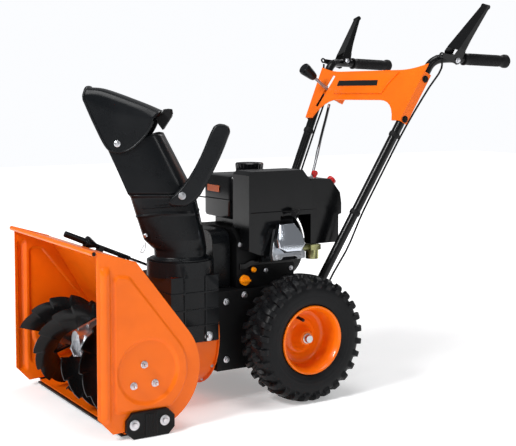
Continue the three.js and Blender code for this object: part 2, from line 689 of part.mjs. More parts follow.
function frameBox() {
  const { half, front, rear, bottom, top } = FRAME;
  const shell = cut(
    block(-half, half, front, rear, bottom, top),
    block(-half + SHEET, half - SHEET, front + SHEET, rear - SHEET, bottom - 1, top - SHEET));
  return cut(shell,
    block(-82, 82, 418, 469, top - 10, top + 5),
    rodX(AXLE.shaft + 1, -half - 5, half + 5, AXLE.y, AXLE.z),
    rodY(IMPELLER.shaft + 1, front - 5, front + 10, 0, IMPELLER.z));
}

function beltCover() {
  const outline = (inset) => [
    [-78 + inset, 280 + (inset ? 0 : 10.4)], [78 - inset, 280 + (inset ? 0 : 10.4)],
    ...arc(44, 408, 34 - inset, 0, 90, 5), ...arc(-44, 408, 34 - inset, 90, 180, 5),
  ];
  return cut(slabY(outline(0), 414, 467.5), slabY(outline(2.5), 416.5, 465), rodY(20, 460, 470, 0, CRANK.z));
}

function buildFrame() {
  add('frame_box', frameBox(), BLACK_PAINT);
  add('belt_cover', beltCover(), BLACK_PLASTIC);
  const groove = (radius) => radius - BELT.bed + 0.6;
  add('auger_belt', beltLoop({ z: CRANK.z, radius: groove(CRANK.pulley) },
    { z: IMPELLER.z, radius: groove(75) }, 430, 440), RUBBER);
  add('traction_belt', beltLoop({ z: CRANK.z, radius: groove(CRANK.pulley) },
    { z: TRACTION.z, radius: groove(TRACTION.pulley) }, 452, 462), RUBBER);
  const disc = rodY(TRACTION.disc, TRACTION.face - 6, TRACTION.face, 0, TRACTION.z, 36);
  const neck = rodY(20, 460, 474, 0, TRACTION.z);
  add('friction_disc', join(disc, neck, groovedPulley(TRACTION.pulley, 450, 464, TRACTION.z)), ALUMINIUM);
  const wheelY = TRACTION.face + TRACTION.wheel + 0.5;
  const wheel = join(
    rodX(9, -127, 127, wheelY, TRACTION.z, 6),
    rodX(TRACTION.wheel, TRACTION.wheelX - 6, TRACTION.wheelX + 6, wheelY, TRACTION.z, 36),
    rodX(AXLE.pinion, -60, -46, wheelY, TRACTION.z, 24));
  add('friction_wheel', wheel, STEEL);
}

// ---- Wheels ---------------------------------------------------------------------------------
function tyre() {
  const [r, x] = [TYRE_RADIUS, TYRE_OUTER];
  return turnedX([
    [RIM_RADIUS + 1, x - 96], [RIM_RADIUS + 10, x - 99], [r - 40, x - 104], [r - 18, x - 102], [r - 4, x - 94],
    [r, x - 82], [r, x - 20], [r - 4, x - 8], [r - 18, x], [r - 40, x + 2], [RIM_RADIUS + 10, x - 3],
    [RIM_RADIUS + 1, x - 6], [RIM_RADIUS + 1, x - 96],
  ], AXLE.y, AXLE.z, 36);
}

// Deep-dished rim: two lips, a barrel and a cone rising to the hub.
function rim() {
  const r = RIM_RADIUS;
  return turnedX([
    [AXLE.shaft + 0.5, 232], [17, 232], [22, 224], [34, 205], [62, 197], [r - 16, 203], [r - 14, 257],
    [r - 5, 264], [r, 267], [r - 10, 253], [r - 10, 186], [r, 170], [r - 14, 182], [r - 14, 190],
    [62, 192], [32, 199], [18, 219], [AXLE.shaft + 0.5, 219], [AXLE.shaft + 0.5, 232],
  ], AXLE.y, AXLE.z, 28);
}

function buildWheels() {
  const axle = join(
    rodX(AXLE.shaft, -AXLE.half, AXLE.half, AXLE.y, AXLE.z),
    rodX(AXLE.gear, -60, -46, AXLE.y, AXLE.z, 36));
  add('axle', axle, STEEL);
  const [leftTyre, leftRim] = [tyre(), rim()];
  add('left_tyre', leftTyre, RUBBER);
  add('right_tyre', mirrored(leftTyre), RUBBER);
  add('left_rim', leftRim, ORANGE);
  add('right_rim', mirrored(leftRim), ORANGE);
}

// ---- Engine ---------------------------------------------------------------------------------
function crankcase() {
  const low = FRAME.top + GAP;
  const body = slabY([[-112, low], [108, low], [108, 420], [82, 446], [-86, 446], [-112, 420]], 470, 650);
  const filler = rodX(12, 100, 118, 486, 312, 16);
  const plug = rodX(8, 100, 117, 516, 337, 12);
  return cut(join(body, filler, plug), rodY(CRANK.shaft + 0.7, 460, 660, 0, CRANK.z));
}

function crankshaft() {
  return join(
    rodY(CRANK.shaft, 419, 660, 0, CRANK.z),
    groovedPulley(CRANK.pulley, 425, 445, CRANK.z, 24),
    groovedPulley(CRANK.pulley, 449, 464, CRANK.z, 24),
    rodY(CRANK.flywheel, 656, 688, 0, CRANK.z, 36));
}

// Finned barrel and head, lying along +X in the tilted cylinder frame.
function cylinderHead() {
  const barrel = join(block(114, 145, 534, 628, -46, 46), block(140, 168, 579.5, 612, -34, 34));
  const fins = [];
  for (let x = 117; x < 144; x += 9) fins.push(block(x, x + 3, 526, 637, -55, 55));
  const flange = slabX([[536, -55], [558, -55], [566, -48], [604, -48], [612, -55], [634, -55], [636, -40],
    [618, -12], [594, 27], [553, 27], [541, -12], [533, -40]], 166, 180);
  return join(barrel, ...fins, flange);
}

function valveCover() {
  return slabX([[552, 36], [539, 0], [541, -26], [562, -39], [608, -39], [624, -20], [618, 9], [596, 38]],
    180.3, 206, 4);
}

function shroudOutline(inset, drop) {
  const i = inset;
  return [[480 + i, 392 - drop], [516 - i, 392 - drop], [516 - i, 480 - drop], [676 - i, 480 - drop],
    [676 - i, 566], [648 - i / 2, 600 - i], [490, 600 - i], [480 + i, 590]];
}

// Blower housing of the engine, with a cheek that hangs down beside the cylinder's fins.
function engineShroud() {
  const crankcaseSpace = block(70, 108.4, 470, 520, 380, 446.4);
  const shell = cut(slabX(shroudOutline(0, 0), 72, 156), slabX(shroudOutline(3, 10), 75, 153), crankcaseSpace);
  const cheek = slabX([[482, 392], [510, 381], [556, 374], [573, 392], [577, 482], [514, 482], [482, 482]],
    153, 156);
  return join(shell, cheek);
}

function fuelTank() {
  const outline = new THREE.Shape();
  const [x0, x1, y0, y1, r] = [-102, 68, 480, 644, 26];
  outline.absarc(x1 - r, y0 + r, r, -Math.PI / 2, 0);
  outline.absarc(x1 - r, y1 - r, r, 0, Math.PI / 2);
  outline.absarc(x0 + r, y1 - r, r, Math.PI / 2, Math.PI);
  outline.absarc(x0 + r, y0 + r, r, Math.PI, Math.PI * 1.5);
  const tank = slabZ(new THREE.Shape(outline.getPoints(4)), 466, 583, 9);
  const neck = rodZ(26, 580, 588, -30, 595, 24);
  const feet = [block(-70, 30, 505, 525, 446.3, 470), block(-70, 30, 600, 620, 446.3, 470)];
  return join(tank, neck, ...feet);
}

function fuelCap() {
  return turnedZ([[0, 588.3], [38, 588.3], [40, 592], [40, 606], [35, 611], [14, 612], [0, 612]], -30, 592, 24);
}

function carburettor() {
  const bowl = rodZ(18, 351, 381, 110, 709, 24);
  return join(bowl, block(92, 128, 693, 726, 376, 391), rodY(9, 650.4, 700, 110, 381, 16));
}

function carburettorCover() {
  const outline = (i) => [[696 + i, 392 + i], [790 - i, 392 + i], [790 - i, 468], [800 - i, 471], [800 - i, 500],
    [795 - i, 530], [763 - i / 2, 569 - i], [696 + i, 572 - i]];
  const recoilSpace = rodY(92.6, 640, 704.6, 0, CRANK.z, 36);
  return cut(slabX(outline(0), 20, 122), slabX(outline(3), 17, 119), recoilSpace);
}

function recoilCover() {
  return turnedY([[0, 704], [78, 704], [92, 690], [92, 650.4], [88, 650.4], [88, 688], [76, 700], [0, 700]],
    0, CRANK.z, 36);
}

function recoilGrip() {
  return join(rodY(5, 704.5, 716, -60, 438, 12), rodX(9, -92, -28, 720, 438, 12));
}

function buildEngine() {
  add('crankcase', crankcase(), BLACK_PAINT);
  add('crankshaft', crankshaft(), STEEL);
  const bank = group(machine, 0, 0, CRANK.z, 0, -CYLINDER_TILT, 0);
  add('cylinder_head', cylinderHead(), ALUMINIUM, bank);
  add('valve_cover', valveCover(), ALUMINIUM, bank);
  add('engine_shroud', engineShroud(), BLACK_PLASTIC);
  add('muffler', slabX([[548, 494], [662, 494], [662, 560], [640, 584], [548, 584]], 84, 138, 5), STEEL);
  add('fuel_tank', fuelTank(), BLACK_PLASTIC);
  add('fuel_cap', fuelCap(), BLACK_PLASTIC);
  add('carburettor', carburettor(), ALUMINIUM);
  add('carburettor_cover', carburettorCover(), BLACK_PLASTIC);
  add('recoil_cover', recoilCover(), BLACK_PLASTIC);
  add('recoil_grip', recoilGrip(), RUBBER);
  const oilCap = join(rodX(13.5, 118.3, 128, 486, 312, 20), block(127, 136, 474, 498, 309.5, 314.5));
  add('oil_cap', oilCap, AMBER);
  const key = join(rodZ(5, 572.6, 578, KEY.x, KEY.y, 12), rodX(8, KEY.x - 4, KEY.x + 4, KEY.y, 584, 16));
  add('ignition_key', key, RED);
  const slant = group(machine, CHOKE.x, CHOKE.y, CHOKE.z, -CHOKE.lean, 0, 0);
  add('choke_knob', rodZ(13, 0.6, 15, 0, 0, 20), RED, slant);
}

// ---- Handles, panel and controls ------------------------------------------------------------
function handleLine(side) {
  const flip = ([x, y, z]) => [side * x, y, z];
  return bentLine([[144.5, 671, 212], TUBE_FOOT, TUBE_SHOULDER, TUBE_NECK, TUBE_END].map(flip), 22);
}

const LEVER_PIVOT = { x: 259.6, y: 1078, z: 901.3 };

function handleTube(side) {
  const bolt = join(
    rodX(4, -26, 26, 0, 0, 12),
    rodX(8, 24, 29, 0, 0, 6),
    rodX(8, -29, -24, 0, 0, 6)).rotateY(radians(side * LEVER_SPLAY))
    .translate(side * LEVER_PIVOT.x, LEVER_PIVOT.y, LEVER_PIVOT.z);
  return join(pipe(handleLine(side), TUBE_RADIUS, TUBE_RADIUS - 2.5), bolt);
}

// Rubber grip over the tube's end, flared at the tip.
function grip(side) {
  const end = new THREE.Vector3(...TUBE_END);
  const along = end.clone().sub(new THREE.Vector3(...TUBE_NECK)).normalize();
  const sleeve = turned([[0, 11], [15, 9], [20, 2], [20, -8], [17, -18], [16.6, -130], [18, -142], [18, -150],
    [TUBE_RADIUS + 0.5, -150], [TUBE_RADIUS + 0.5, 0.5], [0, 0.5]], 20);
  sleeve.applyQuaternion(new THREE.Quaternion().setFromUnitVectors(new THREE.Vector3(0, 1, 0), along));
  const placed = weld(sleeve.translate(end.x, end.y, end.z));
  return side > 0 ? placed : mirrored(placed);
}

// Pressed clutch lever: a tapering channel on two cheeks that straddle the handle, with a cable arm.
function clutchLever(side) {
  const cheek = [[-12, -5], [-5, -12], [8, -12], [34, -6], [34, 18.6], [8, 20], [-10, 9]];
  const stations = [
    { y: 22, half: 23, web: 20, lip: -7 },
    { y: 70, half: 20, web: 17, lip: -1 },
    { y: LEVER_LENGTH, half: 12, web: 12, lip: 3.5 },
  ];
  const sections = stations.map(({ half, web, lip }) => [[-half, lip], [-half, web], [half, web], [half, lip],
    [half - 3, lip], [half - 3, web - 3], [3 - half, web - 3], [3 - half, lip]].reverse());
  const channelled = loft(sections, (x, z, i) => [x, stations[i].y, z]);
  const tip = rodX(7, -12, 12, LEVER_LENGTH, 7.5, 12);
  const arm = side > 0 ? [20, 23] : [-23, -20];
  const eye = rodX(8.5, ...arm, -20, 58, 12);
  const solid = join(channelled, tip, slabX(cheek, 20, 23), slabX(cheek, -23, -20),
    slabX([[-12, 0], [-25, 50], [-25, 60], [-15, 60], [-10, 50], [10, 8]], ...arm), eye);
  return cut(solid, rodX(4.4, -30, 30, 0, 0, 12), rodX(4, -30, 30, -20, 58, 8));
}

function tubeAt(z) {
  const [low, high] = [TUBE_FOOT, TUBE_SHOULDER];
  const t = (z - low[2]) / (high[2] - low[2]);
  return low.map((value, i) => value + (high[i] - value) * t);
}

const PANEL_TILT = THREE.MathUtils.radToDeg(
  Math.atan2(TUBE_SHOULDER[2] - TUBE_FOOT[2], TUBE_SHOULDER[1] - TUBE_FOOT[1]));

const PANEL_Z = 881;                  // height of the panel's own origin, on the tubes' axes

// Pressed dash panel between the tubes, drawn in its own plane (y up the panel, z out of its face).
function dashPanel() {
  const splay = 0.139;
  const edge = (y) => 240.8 + splay * y;
  const half = (y) => edge(y) + 15.5;
  const [top, foot] = [-2, -178];
  const outline = new THREE.Shape();
  outline.moveTo(half(top), top);
  outline.quadraticCurveTo(200, -19, 150, -20);
  outline.lineTo(-150, -20);
  outline.quadraticCurveTo(-200, -19, -half(top), top);
  outline.lineTo(-half(foot), foot);
  outline.lineTo(-half(foot) + 36, foot);
  outline.quadraticCurveTo(-168, -116, -105, -115.5);
  outline.lineTo(105, -115.5);
  outline.quadraticCurveTo(168, -116, half(foot) - 36, foot);
  outline.lineTo(half(foot), foot);
  const face = slabZ(outline, 14, 16.5);
  const flanges = [-1, 1].map((side) => slabZ(
    [[side * (edge(-26) + 13.2), -26], [side * half(-26), -26], [side * half(foot), foot],
      [side * (edge(foot) + 13.2), foot]], -10, 16.5));
  const raised = slabZ([[-130, -96], [104, -96], [118, -62], [146, -28], [-138, -28]], 15, 20, 1.5);
  const slot = inGate(block(-8, 8, -54, 54, 0, 30));
  const lugs = [-1, 1].map((side) => inGate(block(side * 10.5 - 1.5, side * 10.5 + 1.5, -9, 9, -54, 15)));
  const pin = inGate(rodX(4, -13, 13, 0, GEAR_GATE.pivot, 12));
  return join(cut(join(face, ...flanges, raised), slot), ...lugs, pin);
}

// The gear lever swings in a slanted slot, about a pin behind the panel.
const GEAR_GATE = { x: -184, y: -86, slant: -14, pivot: -45, lean: -8 };

function inGate(geometry) {
  return weld(geometry.clone().rotateZ(radians(GEAR_GATE.slant)).translate(GEAR_GATE.x, GEAR_GATE.y, 0));
}

function alongGearLever(geometry) {
  return inGate(geometry.clone().rotateX(radians(GEAR_GATE.lean)).translate(0, 0, GEAR_GATE.pivot));
}

function gearLever() {
  const hub = rodX(10, -6, 6, 0, 0, 16);
  return alongGearLever(cut(join(hub, rodZ(5, 6, 141, 0, 0, 12)), rodX(4.5, -20, 20, 0, 0, 12)));
}

function gearKnob() {
  return alongGearLever(turnedZ([[5.5, 119], [10, 119], [13, 127], [19, 163], [17, 171], [0, 174], [0, 141.5],
    [5.5, 141.5], [5.5, 119]], 0, 0, 20));
}

// Control cable from the lever's arm, down behind the handle tube and into the frame.
function controlCable(side) {
  const behind = (z, x, y) => {
    const [tx, ty] = tubeAt(z);
    return [tx + x, ty + y, z];
  };
  const route = [[283, 1020, 898], [282, 1019, 872], behind(815, 12, 28), behind(700, 2, 24), behind(560, 2, 24),
    behind(470, 2, 26), behind(380, 4, 34), behind(290, 2, 30), [138, 716, 215], [112, 704, 190]];
  const curve = new THREE.CatmullRomCurve3(route.map(([x, y, z]) => new THREE.Vector3(side * x, y, z)));
  return bar(curve.getPoints(28), 3, 6);
}

function buildControls() {
  [['left', 1], ['right', -1]].forEach(([name, side]) => {
    add(`${name}_handle_tube`, handleTube(side), BLACK_PAINT);
    add(`${name}_grip`, grip(side), RUBBER);
    const bolt = [side * LEVER_PIVOT.x, LEVER_PIVOT.y, LEVER_PIVOT.z];
    const bracket = group(machine, ...bolt, 0, side * LEVER_SPLAY, 0);
    const pivot = group(bracket, 0, 0, 0, LEVER_REST, 0, 0);
    add(`${name}_clutch_lever`, clutchLever(side), BLACK_PAINT, pivot);
    add(`${name}_control_cable`, controlCable(side), RUBBER);
  });
  const panel = group(machine, 0, tubeAt(PANEL_Z)[1], PANEL_Z, PANEL_TILT, 0, 0);
  add('dash_panel', dashPanel(), ORANGE, panel);
  add('gear_lever', gearLever(), STEEL, panel);
  add('gear_knob', gearKnob(), RUBBER, panel);
}

buildHousing();
buildAugerDrive();
buildChute();
buildTool();
buildFrame();
buildWheels();
buildEngine();
buildControls();

// The footprint's middle becomes the origin.
const snowBlower = new THREE.Group();
machine.position.y = -(1275 + LIP_Y - LIP_RADIUS) / 2;
snowBlower.add(machine);
snowBlower.updateMatrixWorld(true);

export default snowBlower;
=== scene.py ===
import json
import math

import bmesh
import bpy
import numpy as np
from mathutils import Matrix, Vector


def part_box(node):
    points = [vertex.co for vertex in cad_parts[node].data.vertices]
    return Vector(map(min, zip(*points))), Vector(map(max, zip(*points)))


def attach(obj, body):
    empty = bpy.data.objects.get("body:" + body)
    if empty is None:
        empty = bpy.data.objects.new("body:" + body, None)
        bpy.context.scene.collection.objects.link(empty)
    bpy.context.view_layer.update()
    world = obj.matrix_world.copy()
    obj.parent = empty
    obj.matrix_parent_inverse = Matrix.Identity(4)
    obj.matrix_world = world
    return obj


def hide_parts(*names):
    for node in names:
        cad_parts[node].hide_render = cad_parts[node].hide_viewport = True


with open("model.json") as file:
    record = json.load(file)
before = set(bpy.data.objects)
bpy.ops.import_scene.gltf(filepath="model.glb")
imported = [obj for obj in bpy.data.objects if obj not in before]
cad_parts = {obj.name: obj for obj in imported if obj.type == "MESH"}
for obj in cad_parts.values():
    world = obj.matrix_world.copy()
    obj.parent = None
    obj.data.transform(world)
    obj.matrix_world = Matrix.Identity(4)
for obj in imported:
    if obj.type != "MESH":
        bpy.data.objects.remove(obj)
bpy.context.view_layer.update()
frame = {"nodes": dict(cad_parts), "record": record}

bl_info = {
    "name": "Two-Stage Snow Blower",
    "version": (1, 0, 0),
    "blender": (4, 5, 0),
    "location": "View3D > Sidebar > Snow Blower",
    "description": "Builds the finished surfaces of a small petrol snow blower around its CAD frame",
    "category": "Add Mesh",
}

RECORD = frame["record"]
BODY_OF = {node: body for body, nodes in RECORD["behaviour"]["bodies"].items() for node in nodes}
SLOT_OF = {part["node"]: part["material_slot"] for part in RECORD["subparts"]}
JOINTS = {joint["name"]: joint for joint in RECORD["behaviour"]["joints"]}
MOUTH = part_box("left_side_plate")[0].y
MM = 0.001


def pivot_mm(joint):
    """A joint's point in machine millimetres, where y = 0 is the front edge of the side plates."""
    x, y, z = JOINTS[joint]["pos_m"]
    return np.array([x, y - MOUTH, z]) / MM


def box_mm(node):
    """The two corners of a CAD node in machine millimetres."""
    shift = np.array([0.0, MOUTH, 0.0])
    return [(np.array(corner) - shift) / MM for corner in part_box(node)]


AUGER = pivot_mm("auger_spin")
IMPELLER = pivot_mm("impeller_spin")
AXLE = pivot_mm("wheel_spin")
CHUTE = pivot_mm("chute_turn")
CRANK = pivot_mm("crank_spin")
CHUTE_TURN = math.atan2(JOINTS["deflector_tilt"]["axis"][1], JOINTS["deflector_tilt"]["axis"][0])
PLATE_X = box_mm("left_auger_bearing")[1][0] - 6


# ---- Places and frames ------------------------------------------------------------------------

def rotation(angle, axis):
    return np.array(Matrix.Rotation(angle, 3, axis))


def moved(points, turn=None, origin=(0, 0, 0)):
    """Every point is turned by a 3x3 matrix and then shifted by the origin, in millimetres."""
    points = np.asarray(points, float)
    if turn is not None:
        points = points @ turn.T
    return points + np.asarray(origin, float)


def in_chute(points):
    """The chute's own frame: its collar axis is x = y = 0, it throws towards -y, heights are true."""
    return moved(points, rotation(CHUTE_TURN, "Z"), (CHUTE[0], CHUTE[1], 0))


# ---- Meshes -----------------------------------------------------------------------------------

def on_chute(shape):
    """A shape given in the chute's own frame, at its place on the machine."""
    return in_chute(shape[0]), shape[1]


def grid_faces(rows, columns, wrap_rows=False, wrap_columns=False):
    """Quads of a grid numbered row by row; a wrapped direction joins its last line to its first."""
    r = np.arange(rows if wrap_rows else rows - 1)
    c = np.arange(columns if wrap_columns else columns - 1)
    r, c = [a.ravel() for a in np.meshgrid(r, c, indexing="ij")]
    below, right = (r + 1) % rows, (c + 1) % columns
    return np.stack([r * columns + c, r * columns + right, below * columns + right, below * columns + c], 1)


def surface(points, wrap_rows=False, wrap_columns=False, caps=False):
    """Points and faces of one grid of shape (rows, columns, 3), with its end rows capped if asked."""
    rows, columns, _ = points.shape
    faces = grid_faces(rows, columns, wrap_rows, wrap_columns).tolist()
    if caps:
        faces.append(list(range(columns))[::-1])
        faces.append(list(range((rows - 1) * columns, rows * columns)))
    return points.reshape(-1, 3), faces


def together(*shapes):
    """Several (points, faces) shapes as one."""
    points, faces, start = [], [], 0
    for shape_points, shape_faces in shapes:
        points.append(shape_points)
        faces += [[start + i for i in face] for face in shape_faces]
        start += len(shape_points)
    return np.concatenate(points), faces


def piece(name, shape, look, body, slot=None, replaces=(), wall=0.0, bevel=0.0, segments=2, angle=35,
        smooth=38):
    """Makes one finished piece from (points in machine mm, faces), and lets it ride on its body.

    Points are scaled to metres and shifted so that the mouth's front edge is where the frame has it.
    """
    points, faces = shape
    mesh = bpy.data.meshes.new(name)
    mesh.from_pydata((np.asarray(points, float) * MM + (0, MOUTH, 0)).tolist(), [], faces)
    work = bmesh.new()
    work.from_mesh(mesh)
    bmesh.ops.remove_doubles(work, verts=work.verts, dist=2e-6)
    bmesh.ops.recalc_face_normals(work, faces=work.faces)
    work.to_mesh(mesh)
    work.free()
    obj = bpy.data.objects.new(name, mesh)
    bpy.context.scene.collection.objects.link(obj)
    mesh.materials.append(look)
    mesh.shade_smooth()
    mesh.set_sharp_from_angle(angle=math.radians(smooth))
    if wall:
        solid = obj.modifiers.new("wall", "SOLIDIFY")
        solid.thickness, solid.offset, solid.use_even_offset = wall * MM, -1, True
    if bevel:
        add_bevel(obj, bevel, segments, angle)
    if replaces:
        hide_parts(*replaces)
        slot = slot or SLOT_OF[replaces[0]]
    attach(obj, body)
    return obj


def add_bevel(obj, width, segments, angle):
    edge = obj.modifiers.new("edges", "BEVEL")
    edge.width, edge.segments = width * MM, segments
    edge.limit_method, edge.angle_limit = "ANGLE", math.radians(angle)
    edge.use_clamp_overlap = edge.harden_normals = True


def softened(node, look, bevel=1.0, segments=2, angle=30, smooth=33):
    """A merged copy of a CAD node with its flat faces joined up and its edges rounded."""
    mesh = frame["nodes"][node].data.copy()
    work = bmesh.new()
    work.from_mesh(mesh)
    bmesh.ops.remove_doubles(work, verts=work.verts, dist=2e-5)
    bmesh.ops.dissolve_limit(work, angle_limit=math.radians(0.6), verts=work.verts, edges=work.edges)
    work.to_mesh(mesh)
    work.free()
    name = node + "_finished"
    mesh.name = name
    obj = bpy.data.objects.new(name, mesh)
    bpy.context.scene.collection.objects.link(obj)
    mesh.materials.clear()
    mesh.materials.append(look)
    mesh.shade_smooth()
    mesh.set_sharp_from_angle(angle=math.radians(smooth))
    if bevel:
        add_bevel(obj, bevel, segments, angle)
    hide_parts(node)
    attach(obj, BODY_OF[node])
    return obj


def turned(profile, axis, centre, sides=48, wrap=False):
    """A profile of (radius, distance along the axis) turned about an axis through the centre."""
    radius, along = np.asarray(profile, float).T
    angle = np.linspace(0, 2 * math.pi, sides, endpoint=False)
    across = radius[:, None] * np.cos(angle), radius[:, None] * np.sin(angle)
    along = np.broadcast_to(along[:, None], across[0].shape)
    order = {"X": (along, *across), "Y": (across[1], along, across[0]), "Z": (*across, along)}[axis]
    return surface(np.stack(order, -1) + np.asarray(centre, float), wrap_rows=wrap, wrap_columns=True)


def swept(path, radius, sides=14, flat=1.0):
    """A round section carried along a path: each ring lies across the path's own direction there."""
    path = np.asarray(path, float)
    along = np.gradient(path, axis=0)
    along /= np.linalg.norm(along, axis=1, keepdims=True)
    side = np.cross(along, (0.31, 0.05, 0.2) if abs(along[0, 0]) < 0.9 else (0, 0.2, 1.0))
    side /= np.linalg.norm(side, axis=1, keepdims=True)
    up = np.cross(side, along)
    angle = np.linspace(0, 2 * math.pi, sides, endpoint=False)
    radius = np.broadcast_to(radius, len(path))[:, None, None]
    ring = np.cos(angle)[None, :, None] * side[:, None] + flat * np.sin(angle)[None, :, None] * up[:, None]
    return surface(path[:, None] + radius * ring, wrap_columns=True, caps=True)


def smooth_path(points, count=60):
    """A cubic through the points: each span blends its ends with the slopes of its neighbours."""
    points = np.asarray(points, float)
    slope = np.gradient(points, axis=0)
    t = np.linspace(0, len(points) - 1, count)
    i = np.minimum(t.astype(int), len(points) - 2)
    u = (t - i)[:, None]
    return ((2 * u**3 - 3 * u**2 + 1) * points[i] + (u**3 - 2 * u**2 + u) * slope[i]
            + (3 * u**2 - 2 * u**3) * points[i + 1] + (u**3 - u**2) * slope[i + 1])


def bent_path(points, bend, steps=7):
    """Straight runs joined by parabolic bends that start the given distance before each corner."""
    points = [np.asarray(p, float) for p in points]
    path = [points[0]]
    u = np.linspace(0, 1, steps)[:, None]
    for before, corner, after in zip(points, points[1:], points[2:]):
        start = corner + bend * (before - corner) / np.linalg.norm(before - corner)
        end = corner + bend * (after - corner) / np.linalg.norm(after - corner)
        path.extend((1 - u) ** 2 * start + 2 * u * (1 - u) * corner + u**2 * end)
    return np.array(path + [points[-1]])


def bolt(at, direction, size=6.0, washer=10.0, shank=0.0):
    """A washer, a domed hexagon head and, if asked, the end of its shank, along a direction."""
    direction = np.asarray(direction, float) / np.linalg.norm(direction)
    turn = np.array(Vector((0, 0, 1)).rotation_difference(Vector(direction)).to_matrix())
    plate = turned([(0, 0), (washer * 0.94, 0), (washer, 0.6), (washer, 1.5), (washer * 0.9, 2), (0, 2)],
            "Z", (0, 0, 0), 24)
    head = turned([(0, 1.8), (size, 1.8), (size, size), (size * 0.86, size * 1.15), (0, size * 1.2)], "Z",
            (0, 0, 0), 6)
    shapes = [plate, head]
    if shank:
        shapes.append(turned([(0, 2), (size * 0.55, 2), (size * 0.55, shank - 1), (size * 0.45, shank),
                (0, shank)], "Z", (0, 0, 0), 14))
    points, faces = together(*shapes)
    return moved(points, turn, at), faces


def inside_distance(points, outline):
    """Signed distance of each point to a closed outline, positive inside (nearest edge, even-odd rule)."""
    a = outline[None]
    b = np.roll(outline, -1, 0)[None]
    p = points[:, None]
    edge, to_point = b - a, p - a
    t = np.clip((to_point * edge).sum(-1) / np.maximum((edge * edge).sum(-1), 1e-12), 0, 1)
    distance = np.linalg.norm(to_point - t[..., None] * edge, axis=-1).min(1)
    crosses = (a[..., 1] > p[..., 1]) != (b[..., 1] > p[..., 1])
    rise = np.where(edge[..., 1] == 0, 1e-12, edge[..., 1])
    left = p[..., 0] < a[..., 0] + to_point[..., 1] * edge[..., 0] / rise
    inside = (crosses & left).sum(1) % 2 == 1
    return np.where(inside, distance, -distance)


def step(value, low, high):
    """0 below low, 1 above high, and a smooth ramp between them."""
    t = np.clip((value - low) / (high - low), 0, 1)
    return t * t * (3 - 2 * t)


def arc(centre, radius, start, end, count):
    angle = np.radians(np.linspace(start, end, count))
    return np.stack([centre[0] + radius * np.cos(angle), centre[1] + radius * np.sin(angle)], 1)


def touch_angle(point, centre, radius):
    """The angle, in degrees, at which a line from the point touches the circle on its rear side."""
    away = np.asarray(point, float) - centre
    return math.degrees(math.atan2(away[1], away[0]) - math.acos(radius / np.linalg.norm(away)))


def resampled(outline, spacing):
    """Points along a closed outline, each edge split evenly so that its corners stay."""
    ends = np.roll(outline, -1, 0)
    runs = []
    for start, end in zip(outline, ends):
        count = max(1, round(np.linalg.norm(end - start) / spacing))
        runs.append(start + (end - start) * np.linspace(0, 1, count, endpoint=False)[:, None])
    return np.concatenate(runs)


# ---- Shader maths -------------------------------------------------------------------------------

class Value:
    """A socket that can be used in Python expressions; every operator adds one Math node."""

    def __init__(self, look, socket):
        self.look, self.socket = look, socket

    def _math(self, operation, *values):
        return self.look.node("ShaderNodeMath", {"operation": operation}, dict(enumerate(values)))

    def __add__(self, other): return self._math("ADD", self, other)
    def __radd__(self, other): return self._math("ADD", other, self)
    def __sub__(self, other): return self._math("SUBTRACT", self, other)
    def __rsub__(self, other): return self._math("SUBTRACT", other, self)
    def __mul__(self, other): return self._math("MULTIPLY", self, other)
    def __rmul__(self, other): return self._math("MULTIPLY", other, self)
    def __pow__(self, other): return self._math("POWER", self, other)


class Look:
    """One Principled material and the nodes that feed it."""

    def __init__(self, name, **uniform):
        self.material = bpy.data.materials.new(name)
        self.material.use_nodes = True
        self.tree = self.material.node_tree
        self.shader = self.tree.nodes["Principled BSDF"]
        for socket, value in uniform.items():
            self.shader.inputs[socket.replace("_", " ")].default_value = value
        self.place = self.node("ShaderNodeTexCoord", output="Object")

    def node(self, kind, settings=None, sockets=None, output=0):
        """Adds a node: its settings are set first, then its sockets get values or links."""
        node = self.tree.nodes.new(kind)
        for key, value in (settings or {}).items():
            if key == "stops":
                ramp = node.color_ramp
                while len(ramp.elements) < len(value):
                    ramp.elements.new(0.5)
                for element, (position, colour) in zip(ramp.elements, value):
                    element.position, element.color = position, colour
            else:
                setattr(node, key, value)
        for key, value in (sockets or {}).items():
            if isinstance(value, Value):
                self.tree.links.new(value.socket, node.inputs[key])
            else:
                node.inputs[key].default_value = value
        return Value(self, node.outputs[output])

    def noise(self, scale, detail=3.0, rough=0.55, stretch=(1, 1, 1)):
        spot = self.node("ShaderNodeMapping", None, {"Vector": self.place, "Scale": stretch})
        return self.node("ShaderNodeTexNoise", None, {"Vector": spot, "Scale": scale, "Detail": detail,
                "Roughness": rough})

    def ramp(self, value, low, high):
        """0 below low and 1 above high."""
        return self.node("ShaderNodeMapRange", {"interpolation_type": "SMOOTHSTEP"},
                         {"Value": value, "From Min": low, "From Max": high})

    def mix(self, factor, first, second):
        return self.node("ShaderNodeMix", {"data_type": "RGBA"}, {"Factor": factor, 6: first, 7: second},
                output=2)

    def feed(self, socket, value):
        self.tree.links.new(value.socket, self.shader.inputs[socket])

    def bump(self, height, strength, distance):
        self.feed("Normal", self.node("ShaderNodeBump", None,
                {"Height": height, "Strength": strength, "Distance": distance}))


def rgb(*values):
    return (*values, 1.0)


def powder_coat(name, colour, dark, roughness, coat):
    """Powder-coated steel: a faint orange peel, slow changes of tone, and dust in the low places."""
    look = Look(name, Coat_Weight=coat, Coat_Roughness=0.08, Specular_IOR_Level=0.2)
    tone = look.ramp(look.noise(6.0, 3.0), 0.35, 0.7)
    speck = look.ramp(look.noise(900.0, 2.0), 0.66, 0.78)
    look.feed("Base Color", look.mix(speck * 0.2, look.mix(tone * 0.35, rgb(*colour), rgb(*dark)),
            rgb(*dark)))
    look.feed("Roughness", roughness + 0.12 * look.noise(26.0, 4.0))
    look.bump(look.noise(520.0, 2.0), 0.1, 0.0004)
    return look.material


